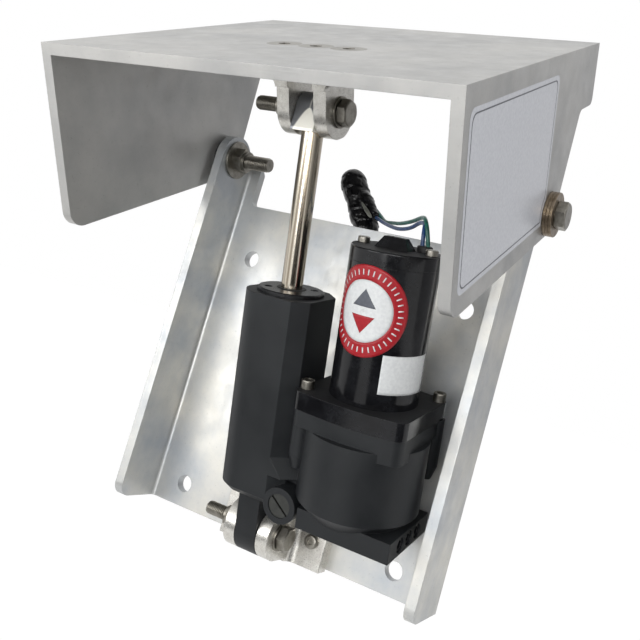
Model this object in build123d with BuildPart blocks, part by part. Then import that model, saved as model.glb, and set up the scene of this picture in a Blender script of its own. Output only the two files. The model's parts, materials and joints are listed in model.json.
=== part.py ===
from build123d import *
from math import acos, atan2, cos, degrees, pi, radians, sin, tan
import os

# Power tilt jack plate. Millimetres, +Z up, +X to starboard, the boat lies towards +Y.
# Origin: centre of the four transom holes, on the face that lies against the transom.
# It stands as it is stored: fully tilted, with the ram run out.

# Aluminium plate and the two folded channels
plate = 7.94
transom_width = 279.4
hinge_setback = 31.75
hinge_height = 183.3
ear_radius = 20.3
ear_slope = 45.0
foot_round = 11.0
notch_width = 240.0
notch_drop = 33.5
notch_round = 5.0
channel_fillet = 3.0
hole_spacing = 204.8
foot_margin = 19.1
transom_hole = 14.3
motor_depth = 266.7
motor_side = 130.2
hinge_back = 177.8
hinge_low = 113.2
toe_round = 12.0
heel_in = 77.7
shoulder_in = 32.2
shoulder_low = 46.5
shoulder_round = 6.0
shoulder_hollow = 8.0
rest_tilt = 31.17
shut_tilt = 90.0

# Hinge fasteners
bolt = 12.7
head_flats = 19.0
head_height = 8.0
nut_height = 11.0
collar_height = 2.4
collar_step = 0.75
bolt_tip = 1.2
washer = 33.0
thin_washer = 2.2
washer_edge = 0.3
outer_washers = 3
hinge_spacer = 4.66
hinge_tail = 23.0
running_gap = 0.1
pin_fit = 0.05

# Clevises and their pins
clevis_gap = 19.8
clevis_ear = 10.0
clevis_ear_radius = 19.0
clevis_base = 12.0
clevis_length = 96.0
clevis_depth = 42.0
clevis_fillet = 6.5
upper_pin_back = 101.6
upper_pin_low = 43.0
lower_pin_out = 35.0
pin = 10.6
pin_flats = 17.0
pin_head = 7.0
pin_nut = 8.0
pin_washer = 22.0
pin_washer_height = 1.8
pin_tail = 27.0
flat_screw_pitch = 26.0
flat_head = 25.0
flat_angle = 82.0
flat_socket = 8.0
socket_depth = 4.0
base_screw = 8.0
base_screw_head = 11.5
base_screw_height = 3.8
base_screw_crown = 2.0
base_screw_socket = 4.6
base_socket_depth = 2.0
screw_tip = 1.0
clevis_edge = 1.0
base_screw_at = 36.0

# Ram
rod = 15.875
spigot = 10.0
spigot_length = 7.0
eye_gap = 0.6
eye_crown = 11.5
eye_shoulder = 16.0
eye_flare = 31.0
eye_lip = 2.0
bore = 38.1
octagon_flats = 58.0
octagon_front = 10.0
octagon_back = 13.0
octagon_round = 20.0
cylinder_foot = 35.0
cylinder_top = 187.0
gland = 49.0
gland_seat = 15.0
gland_proud = 3.0
gland_edge = 0.8
spanner_hole = 6.0
spanner_depth = 6.0
spanner_circle = 17.0
spanner_angle = 40.0
wiper_od = 22.0
wiper_height = 4.0
wiper_lip = 0.6
bore_floor = 52.0
piston_length = 12.0
piston_below = 5.0
seal_section = 3.0
lug_radius = 19.0
lug_width = 18.8
foot_chamfer = 5.0
slot_spare = 0.5
slot_wall = 3.0

# Manual release valve
release_x = 31.8
release_up = 39.5
release_front = 29.0
release_boss = 27.0
release_screw = 18.0
release_slot = 1.6
release_slot_depth = 3.2
release_depth = 12.0
release_root = 12.0
release_gap = 2.0
release_recess = 0.8
release_turn = -40.0

# Motor, adapter and the cast pump housing
motor_x = 77.0
motor_rear = 4.0
motor_od = 63.5
motor_wall = 3.0
adapter_low = 115.0
adapter_thick = 13.0
adapter_side = 87.0
adapter_front = 31.0
adapter_rear = 42.0
adapter_bulge = 5.0
adapter_round = 7.0
motor_top = 234.0
cap_height = 10.0
spigot_height = 3.0
through_circle = 26.0
through_screw = 5.0
through_head = 8.5
through_head_height = 4.0
through_bite = 8.0
through_turn = 30.0
cap_round = 1.2
boss_wide = 25.0
boss_narrow = 16.0
boss_height = 8.0
boss_deep = 15.0
boss_shift = 3.0
flange_screw = 6.35
flange_head = 9.5
flange_socket = 5.0
head_round = 0.8
flange_screw_x = 38.5
flange_screw_front = 21.0
flange_screw_rear = 36.0
flange_offset = 1.5
screw_bite = 12.0
screw_boss = 13.5
screw_boss_height = 36.0
boss_tail = 10.0
boss_taper = 18.0
corner_boss = 16.0
corner_drop = 6.0
barrel_radius = 45.0
barrel_wall = 12.0
barrel_rear = 38.0
barrel_lift = 6.0
skirt_height = 12.0
skirt_taper = 45.0
bridge_left = 14.0
bridge_front = 14.0
gusset_low = 59.0
gusset_rise = 13.5
gusset_reach = 11.0
bridge_rear = 20.0
manifold_low = 29.0
manifold_high = 44.0
manifold_right = 121.0
manifold_front = 29.0
manifold_rear = 35.0
rim_height = 12.0
rim_inset = 1.0
port_plug = 11.0
port_pitch = 14.0
plug_depth = 9.0
plug_socket = 6.0
plug_recess = 1.0

# Gear pump and armature
gear_teeth = 10
gear_module = 1.6
gear_width = 12.0
gear_backlash = 0.3
pressure_angle = 20.0
gear_addendum = 0.8
gear_dedendum = 1.1
gear_clear = 0.15
pump_radius = 30.0
pump_height = 24.0
pump_cover = 6.0
shaft = 8.0
idler_shaft = 6.0
idler_end = 4.0
idler_float = 1.0
shaft_gap = 0.5
magnet_thick = 6.0
magnet_gap = 9.0
air_gap = 1.0
core_slot = 4.0
core_slots = 12
brush_plate_thick = 3.0
brush_wide = 7.0
brush_long = 11.0
brush_tall = 8.0
core_low = 138.0
core_high = 196.0
commutator = 22.0
commutator_high = 214.0
bush_wall = 3.0
bush_length = 8.0

# Leads and their taped end
lead = 3.0
grommet = 11.0
grommet_height = 4.0
grommet_round = 1.0
grommet_rear = 17.0
grommet_x = 92.0
boot_radius = 11.7
boot_neck = 12.0
boot_waist = 11.2
boot_waist_at = 18.0
boot_lift = 5.5
boot_x = -18.2
boot_back = 16.0
boot_lean = 19.7
boot_rise = 27.5

# Places that follow from the sizes above
hinge = Vector(0, -hinge_setback, hinge_height)
lower_pin = Vector(0, -plate - lower_pin_out, -hole_spacing / 2)
pin_back = upper_pin_back - hinge_back
pin_up = hinge_low - upper_pin_low
motor_width = transom_width + 2 * (hinge_spacer + running_gap + plate)


def bracket_point(back, up, tilt):
    """A point of the tilting bracket, measured from its hinge, at a tilt angle."""
    c, s = cos(radians(tilt)), sin(radians(tilt))
    return hinge + Vector(0, back * c - up * s, back * s + up * c)


upper_pin = bracket_point(pin_back, pin_up, rest_tilt)
shut_pin = bracket_point(pin_back, pin_up, shut_tilt)
reach = upper_pin - lower_pin
shut_reach = shut_pin - lower_pin
rest_length = reach.length
shut_length = shut_reach.length
rest_lean = degrees(atan2(-reach.Y, reach.Z))
shut_lean = degrees(atan2(-shut_reach.Y, shut_reach.Z))
stroke = rest_length - shut_length


def pin_place(share):
    """The lower pin in the lug, back and up the ram, when the lean turns evenly with the tilt."""
    turn = radians(rest_lean + share * (shut_lean - rest_lean))
    line = bracket_point(pin_back, pin_up, rest_tilt + share * (shut_tilt - rest_tilt)) - lower_pin
    back = -line.Y * cos(turn) - line.Z * sin(turn)
    up = rest_length - share * stroke + line.Y * sin(turn) - line.Z * cos(turn)
    return (back, up)


lean = radians(rest_lean)
up_axis = Vector(0, -sin(lean), cos(lean))
back_axis = Vector(0, cos(lean), sin(lean))
x_axis = Vector(1, 0, 0)


def ram_point(x, back, up):
    return lower_pin + x_axis * x + back_axis * back + up_axis * up


def ram_across(up, x=0.0, back=0.0):
    """Plane square to the ram: local x to starboard, local y to the transom."""
    return Plane(origin=ram_point(x, back, up), x_dir=x_axis, z_dir=up_axis)


def ram_side(x=0.0, up=0.0):
    """Plane along the ram seen from port: local x to the transom, local y up the ram."""
    return Plane(origin=ram_point(x, 0, up), x_dir=back_axis, z_dir=x_axis)


def ram_front(front, x=0.0, up=0.0):
    """Plane that faces the outside: local x to starboard, local y up the ram."""
    return Plane(origin=ram_point(x, -front, up), x_dir=x_axis, z_dir=-back_axis)


def bracket_side(x=0.0):
    """Plane through the hinge, local x along the tilting top to its back edge."""
    along = bracket_point(1, 0, rest_tilt) - hinge
    return Plane(origin=hinge + x_axis * x, x_dir=along, z_dir=x_axis)


def bracket_top(up, back=0.0, x=0.0):
    """Plane parallel to the tilting top: local x to starboard, local y to its back edge."""
    normal = bracket_point(0, 1, rest_tilt) - hinge
    origin = bracket_point(back, up, rest_tilt) + x_axis * x
    return Plane(origin=origin, x_dir=x_axis, z_dir=normal)


def across(at, x, side=1):
    """Plane square to X at a pin's centre, facing starboard or port."""
    return Plane(origin=Vector(x, at.Y, at.Z), x_dir=(0, side, 0), z_dir=(side, 0, 0))


def disc(plane, outer, thick, inner=0.0, mode=Mode.ADD):
    """A round plate or a washer of given diameters on a plane."""
    with BuildSketch(plane) as ring:
        Circle(outer / 2)
        if inner:
            Circle(inner / 2, mode=Mode.SUBTRACT)
    extrude(ring.sketch, amount=thick, mode=mode)


def axis_of(plane):
    """The plane that holds another plane's normal: local x out, local y along it."""
    return Plane(origin=plane.origin, x_dir=plane.x_dir, z_dir=-plane.y_dir)


def hexagon(plane, flats, thick, hole=0.0):
    """A hexagon whose outer corners are turned to a cone, as on a bolt head or nut."""
    corner = flats / 2 / cos(pi / 6) + running_gap
    with BuildSketch(plane) as prism:
        RegularPolygon(flats / 2, 6, major_radius=False)
        if hole:
            Circle(hole / 2, mode=Mode.SUBTRACT)
    extrude(prism.sketch, amount=thick)
    fall = (corner - flats / 2) * tan(pi / 6)
    with BuildSketch(axis_of(plane)) as cone:
        with BuildLine():
            Polyline((flats / 2, thick), (corner, thick - fall), (corner, thick), close=True)
        make_face()
    revolve(cone.sketch, axis=Axis(plane.origin, plane.z_dir), mode=Mode.SUBTRACT)


def bolt_through(plane, size, length, flats, head):
    """A hex bolt whose head sits on the plane and whose shank runs back through it."""
    hexagon(plane, flats, head)
    disc(plane, size, -length)
    ends = edges(Select.LAST).filter_by(GeomType.CIRCLE)
    chamfer(ends.sort_by(Axis(plane.origin, plane.z_dir))[0], length=bolt_tip)


def lock_nut(plane, size, flats, thick):
    """A hex nut with the round collar of its insert."""
    hole = size + 2 * pin_fit
    hexagon(plane, flats, thick - collar_height, hole)
    disc(plane.offset(thick - collar_height), flats - 2 * collar_step, collar_height, hole)


def washer_disc(plane, outer, thick, hole):
    """A washer whose two outer edges are broken."""
    with BuildSketch(axis_of(plane)) as section:
        with Locations((hole / 2, 0)):
            Rectangle((outer - hole) / 2, thick, align=(Align.MIN, Align.MIN))
        chamfer(vertices().group_by(Axis.X)[-1], washer_edge)
    revolve(section.sketch, axis=Axis(plane.origin, plane.z_dir))


os.makedirs("parts", exist_ok=True)

# Transom bracket: one channel with its web cut low between two ears
foot = -hole_spacing / 2 - foot_margin
front_edge = -hinge_setback - ear_radius
web_top = hinge_height - notch_drop
slope = radians(ear_slope)
crest = (hinge.Y + ear_radius * sin(slope), hinge.Z + ear_radius * cos(slope))
slope_foot = (0, crest[1] + crest[0] * tan(slope))
lower_screws = [Vector(side * base_screw_at, -plate, lower_pin.Z) for side in (-1, 1)]

with BuildPart() as transom_bracket:
    with BuildSketch(Plane.YZ):
        with BuildLine():
            FilletPolyline(
                slope_foot, (0, foot), (front_edge, foot), (front_edge, hinge.Z), radius=[0, foot_round]
            )
            CenterArc((hinge.Y, hinge.Z), ear_radius, 180, -90 - ear_slope)
            Line(crest, slope_foot)
        make_face()
    extrude(amount=transom_width / 2, both=True)
    with BuildSketch(Plane.XY.offset(foot)):
        with Locations((0, -plate)):
            Rectangle(transom_width - 2 * plate, -2 * front_edge, align=(Align.CENTER, Align.MAX))
        fillet(vertices().group_by(Axis.Y)[-1], channel_fillet)
    extrude(amount=hinge_height + 2 * ear_radius - foot, mode=Mode.SUBTRACT)
    with BuildSketch(Plane.XZ):
        with Locations((0, web_top)):
            Rectangle(notch_width, notch_drop + 2 * ear_radius, align=(Align.CENTER, Align.MIN))
        fillet(vertices().group_by(Axis.Y)[0], notch_round)
    extrude(amount=plate, both=True, mode=Mode.SUBTRACT)
    with BuildSketch(Plane.XZ):
        with GridLocations(hole_spacing, hole_spacing, 2, 2):
            Circle(transom_hole / 2)
        with Locations(*[(at.X, at.Z) for at in lower_screws]):
            Circle(base_screw / 2 + pin_fit)
    extrude(amount=plate, both=True, mode=Mode.SUBTRACT)
    with BuildSketch(Plane.YZ):
        with Locations((hinge.Y, hinge.Z)):
            Circle(bolt / 2 + pin_fit)
    extrude(amount=transom_width, both=True, mode=Mode.SUBTRACT)
transom_bracket.part.label = "transom_bracket"
export_step(transom_bracket.part, "parts/transom_bracket.step")

# Motor bracket: the channel that tilts, open at the back and below
nose = -hinge_back
tail = motor_depth - hinge_back
underside = hinge_low - plate
sole = hinge_low - motor_side
shoulder = (tail - shoulder_in, hinge_low - shoulder_low)
heel = (tail - heel_in, sole)
flat_screws = [flat_screw_pitch * i for i in (-1, 0, 1)]

with BuildPart() as motor_bracket:
    with BuildSketch(bracket_side()):
        with BuildLine():
            FilletPolyline(
                (nose, hinge_low),
                (tail, hinge_low),
                (tail, shoulder[1]),
                shoulder,
                heel,
                (nose, sole),
                radius=[0, 0, shoulder_round, shoulder_hollow, 0, toe_round],
                close=True,
            )
        make_face()
    extrude(amount=motor_width / 2, both=True)
    with BuildSketch(bracket_top(underside, (nose + tail) / 2)):
        Rectangle(motor_width - 2 * plate, 2 * motor_depth)
    extrude(amount=-motor_side, mode=Mode.SUBTRACT)
    with BuildSketch(bracket_side()):
        Circle(bolt / 2 + pin_fit)
    extrude(amount=motor_width, both=True, mode=Mode.SUBTRACT)
    with Locations(*[bracket_top(hinge_low, pin_back, x) for x in flat_screws]):
        CounterSinkHole(bolt / 2 + pin_fit, flat_head / 2 + pin_fit, 2 * plate, flat_angle)
motor_bracket.part.label = "motor_bracket"
export_step(motor_bracket.part, "parts/motor_bracket.step")

# Hinge fasteners, one set a side
plate_face = motor_width / 2
flange_face = transom_width / 2
inner_face = flange_face - plate
washer_step = thin_washer + running_gap
stack_face = plate_face + outer_washers * washer_step

with BuildPart() as hinge_bolts:
    for side in (-1, 1):
        seat = across(hinge, side * stack_face, side)
        grip = stack_face - inner_face + thin_washer + nut_height + hinge_tail
        bolt_through(seat, bolt, grip, head_flats, head_height)
hinge_bolts.part.label = "hinge_bolts"
export_step(hinge_bolts.part, "parts/hinge_bolts.step")

with BuildPart() as hinge_outer_washers:
    for side in (-1, 1):
        for i in range(outer_washers):
            seat = across(hinge, side * (plate_face + running_gap + i * washer_step), side)
            washer_disc(seat, washer, thin_washer, bolt + 2 * pin_fit)
hinge_outer_washers.part.label = "hinge_outer_washers"
export_step(hinge_outer_washers.part, "parts/hinge_outer_washers.step")

with BuildPart() as hinge_spacers:
    for side in (-1, 1):
        disc(across(hinge, side * flange_face, side), washer, hinge_spacer, bolt + 2 * pin_fit)
hinge_spacers.part.label = "hinge_spacers"
export_step(hinge_spacers.part, "parts/hinge_spacers.step")

with BuildPart() as hinge_inner_washers:
    for side in (-1, 1):
        washer_disc(across(hinge, side * inner_face, -side), washer, thin_washer, bolt + 2 * pin_fit)
hinge_inner_washers.part.label = "hinge_inner_washers"
export_step(hinge_inner_washers.part, "parts/hinge_inner_washers.step")

with BuildPart() as hinge_nuts:
    for side in (-1, 1):
        lock_nut(across(hinge, side * (inner_face - thin_washer), -side), bolt, head_flats, nut_height)
hinge_nuts.part.label = "hinge_nuts"
export_step(hinge_nuts.part, "parts/hinge_nuts.step")


def clevis(front, side, seat):
    """Two ears on a foot; both planes stand at the pin with local y towards the seat."""
    ear_in = clevis_gap / 2
    ear_out = ear_in + clevis_ear
    end = clevis_length / 2
    floor = seat - clevis_base
    edge = clevis_edge
    with BuildSketch(front) as profile:
        with BuildLine():
            FilletPolyline(
                (-end, seat),
                (end, seat),
                (end, floor),
                (ear_out, floor),
                (ear_out, -clevis_ear_radius),
                (ear_in, -clevis_ear_radius),
                (ear_in, floor),
                (-ear_in, floor),
                (-ear_in, -clevis_ear_radius),
                (-ear_out, -clevis_ear_radius),
                (-ear_out, floor),
                (-end, floor),
                radius=[0, 0, edge, clevis_fillet, edge, 0, edge, edge, 0, edge, clevis_fillet, edge],
                close=True,
            )
        make_face()
    extrude(profile.sketch, amount=clevis_depth, both=True)
    with BuildSketch(side) as outline:
        Circle(clevis_ear_radius)
        Rectangle(2 * clevis_ear_radius, floor, align=(Align.CENTER, Align.MIN))
        with Locations((0, floor - clevis_fillet)):
            Rectangle(clevis_depth, clevis_base + clevis_fillet, align=(Align.CENTER, Align.MIN))
    extrude(outline.sketch, amount=clevis_length, both=True, mode=Mode.INTERSECT)
    with BuildSketch(side) as eyes:
        Circle(pin / 2 + pin_fit)
    extrude(eyes.sketch, amount=clevis_length, both=True, mode=Mode.SUBTRACT)


top_along = bracket_point(1, 0, rest_tilt) - hinge
upper_front = Plane(origin=upper_pin, x_dir=x_axis, z_dir=-top_along)
upper_side = Plane(origin=upper_pin, x_dir=top_along, z_dir=x_axis)
lower_front = Plane(origin=lower_pin, x_dir=x_axis, z_dir=(0, 0, 1))
lower_side = Plane(origin=lower_pin, x_dir=(0, 0, -1), z_dir=x_axis)
upper_seat = underside - pin_up

with BuildPart() as upper_clevis:
    clevis(upper_front, upper_side, upper_seat)
    with BuildSketch(bracket_top(underside, pin_back)):
        with Locations(*[(x, 0) for x in flat_screws]):
            Circle(bolt / 2 + pin_fit)
    extrude(amount=-clevis_base, mode=Mode.SUBTRACT)
upper_clevis.part.label = "upper_clevis"
export_step(upper_clevis.part, "parts/upper_clevis.step")

with BuildPart() as lower_clevis:
    clevis(lower_front, lower_side, lower_pin_out)
    with BuildSketch(Plane.XZ.offset(plate)):
        with Locations(*[(at.X, at.Z) for at in lower_screws]):
            Circle(base_screw / 2 + pin_fit)
    extrude(amount=clevis_base, mode=Mode.SUBTRACT)
lower_clevis.part.label = "lower_clevis"
export_step(lower_clevis.part, "parts/lower_clevis.step")

flat_sink = (flat_head - bolt) / 2 / tan(radians(flat_angle / 2))

with BuildPart() as clevis_flat_screws:
    for x in flat_screws:
        top = bracket_top(hinge_low, pin_back, x)
        with BuildSketch(axis_of(top)):
            with BuildLine():
                Polyline(
                    (0, 0),
                    (flat_head / 2, 0),
                    (bolt / 2, -flat_sink),
                    (bolt / 2, screw_tip - plate - clevis_base),
                    (bolt / 2 - screw_tip, -plate - clevis_base),
                    (0, -plate - clevis_base),
                    close=True,
                )
            make_face()
        revolve(axis=Axis(top.origin, top.z_dir))
        with BuildSketch(top):
            RegularPolygon(flat_socket / 2, 6, major_radius=False)
        extrude(amount=-socket_depth, mode=Mode.SUBTRACT)
clevis_flat_screws.part.label = "clevis_flat_screws"
export_step(clevis_flat_screws.part, "parts/clevis_flat_screws.step")

with BuildPart() as lower_clevis_screws:
    for at in lower_screws:
        face = Plane(origin=at - Vector(0, clevis_base, 0), x_dir=x_axis, z_dir=(0, -1, 0))
        disc(face, base_screw_head, base_screw_height)
        fillet(edges(Select.LAST).filter_by(GeomType.CIRCLE).sort_by(Axis.Y)[0], base_screw_crown)
        disc(face, base_screw, screw_tip - clevis_base - plate)
        with BuildSketch(face.offset(base_screw_height)):
            RegularPolygon(base_screw_socket / 2, 6, major_radius=False)
        extrude(amount=-base_socket_depth, mode=Mode.SUBTRACT)
lower_clevis_screws.part.label = "lower_clevis_screws"
export_step(lower_clevis_screws.part, "parts/lower_clevis_screws.step")

# Clevis pins: bolts with the head to starboard
ear_face = clevis_gap / 2 + clevis_ear


def clevis_bolt(at):
    face = across(at, ear_face + pin_washer_height)
    grip = 2 * (ear_face + pin_washer_height) + pin_tail
    bolt_through(face, pin, grip, pin_flats, pin_head)


def clevis_washers(at):
    for side in (-1, 1):
        washer_disc(across(at, side * ear_face, side), pin_washer, pin_washer_height, pin + 2 * pin_fit)


def clevis_nut(at):
    lock_nut(across(at, -ear_face - pin_washer_height, -1), pin, pin_flats, pin_nut)


with BuildPart() as upper_pin_bolt:
    clevis_bolt(upper_pin)
upper_pin_bolt.part.label = "upper_pin_bolt"
export_step(upper_pin_bolt.part, "parts/upper_pin_bolt.step")

with BuildPart() as upper_pin_washers:
    clevis_washers(upper_pin)
upper_pin_washers.part.label = "upper_pin_washers"
export_step(upper_pin_washers.part, "parts/upper_pin_washers.step")

with BuildPart() as upper_pin_nut:
    clevis_nut(upper_pin)
upper_pin_nut.part.label = "upper_pin_nut"
export_step(upper_pin_nut.part, "parts/upper_pin_nut.step")

with BuildPart() as lower_pin_bolt:
    clevis_bolt(lower_pin)
lower_pin_bolt.part.label = "lower_pin_bolt"
export_step(lower_pin_bolt.part, "parts/lower_pin_bolt.step")

with BuildPart() as lower_pin_washers:
    clevis_washers(lower_pin)
lower_pin_washers.part.label = "lower_pin_washers"
export_step(lower_pin_washers.part, "parts/lower_pin_washers.step")

with BuildPart() as lower_pin_nut:
    clevis_nut(lower_pin)
lower_pin_nut.part.label = "lower_pin_nut"
export_step(lower_pin_nut.part, "parts/lower_pin_nut.step")

# Rod, its eye, and the piston that it carries
eye_foot = rest_length - eye_shoulder
gland_foot = cylinder_top - gland_seat
piston_top = gland_foot - piston_below
piston_foot = piston_top - piston_length
eye_width = clevis_gap - 2 * eye_gap

with BuildPart() as rod_eye:
    with BuildSketch(ram_side(up=rest_length)):
        Circle(eye_crown)
        with Locations((0, -eye_shoulder)):
            Rectangle(eye_flare, eye_lip, align=(Align.CENTER, Align.MIN))
        make_hull()
        Circle(pin / 2 + pin_fit, mode=Mode.SUBTRACT)
    extrude(amount=eye_width / 2, both=True)
    disc(ram_across(eye_foot), spigot + 2 * pin_fit, spigot_length, mode=Mode.SUBTRACT)
rod_eye.part.label = "rod_eye"
export_step(rod_eye.part, "parts/rod_eye.step")

with BuildPart() as piston_rod:
    disc(ram_across(piston_top), rod, eye_foot - piston_top)
    disc(ram_across(eye_foot), spigot, spigot_length)
    disc(ram_across(piston_foot), spigot, piston_length)
piston_rod.part.label = "piston_rod"
export_step(piston_rod.part, "parts/piston_rod.step")

with BuildPart() as piston:
    disc(ram_across(piston_foot), bore - 2 * pin_fit, piston_length, spigot + 2 * pin_fit)
    groove = ram_across(piston_foot + (piston_length - seal_section) / 2)
    disc(groove, bore, seal_section, bore - 2 * seal_section, mode=Mode.SUBTRACT)
piston.part.label = "piston"
export_step(piston.part, "parts/piston.step")

with BuildPart() as piston_seal:
    disc(groove, bore - pin_fit, seal_section, bore - 2 * seal_section)
piston_seal.part.label = "piston_seal"
export_step(piston_seal.part, "parts/piston_seal.step")

with BuildPart() as gland_nut:
    disc(ram_across(gland_foot), gland, gland_seat + gland_proud, rod + 2 * pin_fit)
    rim = edges().filter_by(GeomType.CIRCLE).group_by(Axis(lower_pin, up_axis))[-1]
    chamfer(rim.sort_by(SortBy.RADIUS)[-1], gland_edge)
    with BuildSketch(ram_across(cylinder_top + gland_proud)):
        with PolarLocations(spanner_circle, 2, start_angle=spanner_angle):
            Circle(spanner_hole / 2)
    extrude(amount=-spanner_depth, mode=Mode.SUBTRACT)
    seal_groove = ram_across(gland_foot + seal_section)
    disc(seal_groove, gland, seal_section, gland - 2 * seal_section, mode=Mode.SUBTRACT)
    wiper_seat = ram_across(cylinder_top + gland_proud - wiper_height)
    disc(wiper_seat, wiper_od, wiper_height, mode=Mode.SUBTRACT)
gland_nut.part.label = "gland_nut"
export_step(gland_nut.part, "parts/gland_nut.step")

with BuildPart() as gland_seal:
    disc(seal_groove, gland, seal_section, gland - 2 * seal_section)
gland_seal.part.label = "gland_seal"
export_step(gland_seal.part, "parts/gland_seal.step")

with BuildPart() as wiper_seal:
    disc(wiper_seat, wiper_od, wiper_height + wiper_lip, rod + 2 * pin_fit)
    chamfer(edges().filter_by(GeomType.CIRCLE).group_by(Axis(lower_pin, up_axis))[-1][0], wiper_lip)
wiper_seal.part.label = "wiper_seal"
export_step(wiper_seal.part, "parts/wiper_seal.step")

# Cast body: cylinder, pivot lug, release boss, manifold and reservoir in one piece
flange_x = motor_x - flange_offset
screw_spots = [(flange_x - flange_screw_x, -flange_screw_front), (flange_x + flange_screw_x, flange_screw_rear)]
slot_radius = pin / 2 + slot_spare
slot_places = [pin_place(share) for share in (0, 0.2, 0.5, 0.8)]
slot_end = slot_places[2]
port_mid = (manifold_low + manifold_high) / 2
manifold_left = release_x + release_boss / 2 + release_gap
barrel_foot = manifold_high + barrel_lift
rim_foot = adapter_low - rim_height
front_corner = octagon_flats / 2 - octagon_front
port_middle = (manifold_rear - manifold_front) / 2
ports = [port_middle + port_pitch * i for i in (-1, 0, 1)]


def flange_outline(inset=0.0):
    """The adapter's outline: bowed at front and back, with rounded corners."""
    half = adapter_side / 2 - inset
    near = -adapter_front + inset
    far = adapter_rear - inset
    with BuildLine() as outline:
        ThreePointArc((flange_x - half, near), (flange_x, near - adapter_bulge), (flange_x + half, near))
        Line((flange_x + half, near), (flange_x + half, far))
        ThreePointArc((flange_x + half, far), (flange_x, far + adapter_bulge), (flange_x - half, far))
        Line((flange_x - half, far), (flange_x - half, near))
    make_face(outline.edges())
    fillet(vertices(), adapter_round)


with BuildPart() as cylinder_body:
    with BuildSketch(ram_across(cylinder_foot)):
        Rectangle(octagon_flats, octagon_flats)
        chamfer(vertices().group_by(Axis.X)[-1].sort_by(Axis.Y)[0], octagon_front)
        chamfer(vertices().group_by(Axis.X)[-1].sort_by(Axis.Y)[-1], octagon_back)
        fillet(vertices().group_by(Axis.X)[0], octagon_round)
    extrude(amount=cylinder_top - cylinder_foot)
    chamfer(faces().sort_by(Axis(lower_pin, up_axis))[0].edges(), foot_chamfer)
    with BuildSketch(ram_side()):
        Circle(lug_radius)
        with Locations(slot_end):
            Circle(slot_radius + slot_wall)
        make_hull()
        Rectangle(2 * lug_radius, cylinder_foot + foot_chamfer, align=(Align.CENTER, Align.MIN))
    extrude(amount=lug_width / 2, both=True)
    disc(ram_front(release_front, release_x, release_up), release_boss, -release_front - release_root)
    with BuildSketch(ram_across(manifold_low)):
        with Locations((manifold_left, -manifold_front)):
            Rectangle(
                manifold_right - manifold_left, manifold_front + manifold_rear, align=(Align.MIN, Align.MIN)
            )
    extrude(amount=manifold_high - manifold_low)
    disc(ram_across(barrel_foot, motor_x, motor_rear), 2 * barrel_radius, rim_foot - barrel_foot)
    with BuildSketch(ram_across(barrel_foot, motor_x, motor_rear)):
        Circle(barrel_radius)
    extrude(amount=-skirt_height, taper=skirt_taper)
    with BuildSketch(ram_across(manifold_low, motor_x, barrel_rear)):
        Rectangle(2 * barrel_radius, barrel_radius, align=(Align.CENTER, Align.MIN))
    extrude(amount=rim_foot - manifold_low, mode=Mode.SUBTRACT)
    with BuildSketch(ram_across(adapter_low)):
        flange_outline(rim_inset)
    extrude(amount=-rim_height)
    with BuildSketch(ram_across(rim_foot)):
        flange_outline(rim_inset)
        with Locations((flange_x + flange_screw_x, -flange_screw_front)):
            Circle(corner_boss, mode=Mode.INTERSECT)
    extrude(amount=-corner_drop)
    with BuildSketch(ram_across(adapter_low)):
        with Locations(*screw_spots):
            Circle(screw_boss / 2)
    extrude(amount=-screw_boss_height)
    with BuildSketch(ram_across(adapter_low - screw_boss_height)):
        with Locations(*screw_spots):
            Circle(screw_boss / 2)
    extrude(amount=-boss_tail, taper=boss_taper)
    with BuildSketch(ram_across(manifold_low)):
        with Locations((bridge_left, -bridge_front)):
            Rectangle(motor_x - bridge_left, bridge_front + bridge_rear, align=(Align.MIN, Align.MIN))
    extrude(amount=rim_foot - manifold_low)
    for depth in (0, octagon_flats / 2 - bridge_front):
        root = -gusset_reach - depth
        with BuildSketch(ram_front(octagon_flats / 2 - depth, front_corner + depth, gusset_low)):
            Polygon((root, 0), (gusset_reach, 0), (0, gusset_rise), (root, gusset_rise), align=None)
    loft()
    with BuildSketch(ram_side()):
        with Locations(*slot_places):
            Circle(slot_radius)
        make_hull()
    extrude(amount=lug_width, both=True, mode=Mode.SUBTRACT)
    disc(ram_across(bore_floor), bore, cylinder_top - bore_floor, mode=Mode.SUBTRACT)
    disc(ram_across(gland_foot), gland + 2 * pin_fit, gland_seat, mode=Mode.SUBTRACT)
    well = ram_across(manifold_high + barrel_wall, motor_x, motor_rear)
    disc(well, 2 * (barrel_radius - barrel_wall), adapter_low - manifold_high - barrel_wall, mode=Mode.SUBTRACT)
    valve_mouth = ram_front(release_front, release_x, release_up)
    disc(valve_mouth, release_screw + 2 * pin_fit, -release_depth, mode=Mode.SUBTRACT)
    with BuildSketch(ram_across(adapter_low)):
        with Locations(*screw_spots):
            Circle(flange_screw / 2 + pin_fit)
    extrude(amount=-screw_bite, mode=Mode.SUBTRACT)
    with BuildSketch(ram_side(manifold_right)):
        with Locations(*[(y, port_mid) for y in ports]):
            Circle(port_plug / 2 + pin_fit)
    extrude(amount=-plug_depth, mode=Mode.SUBTRACT)
cylinder_body.part.label = "cylinder_body"
export_step(cylinder_body.part, "parts/cylinder_body.step")

with BuildPart() as release_valve:
    valve_face = ram_front(release_front - release_recess, release_x, release_up)
    disc(valve_face, release_screw, release_recess - release_depth)
    with BuildSketch(valve_face):
        Rectangle(release_screw * 2, release_slot, rotation=release_turn)
    extrude(amount=-release_slot_depth, mode=Mode.SUBTRACT)
release_valve.part.label = "release_valve"
export_step(release_valve.part, "parts/release_valve.step")

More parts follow.
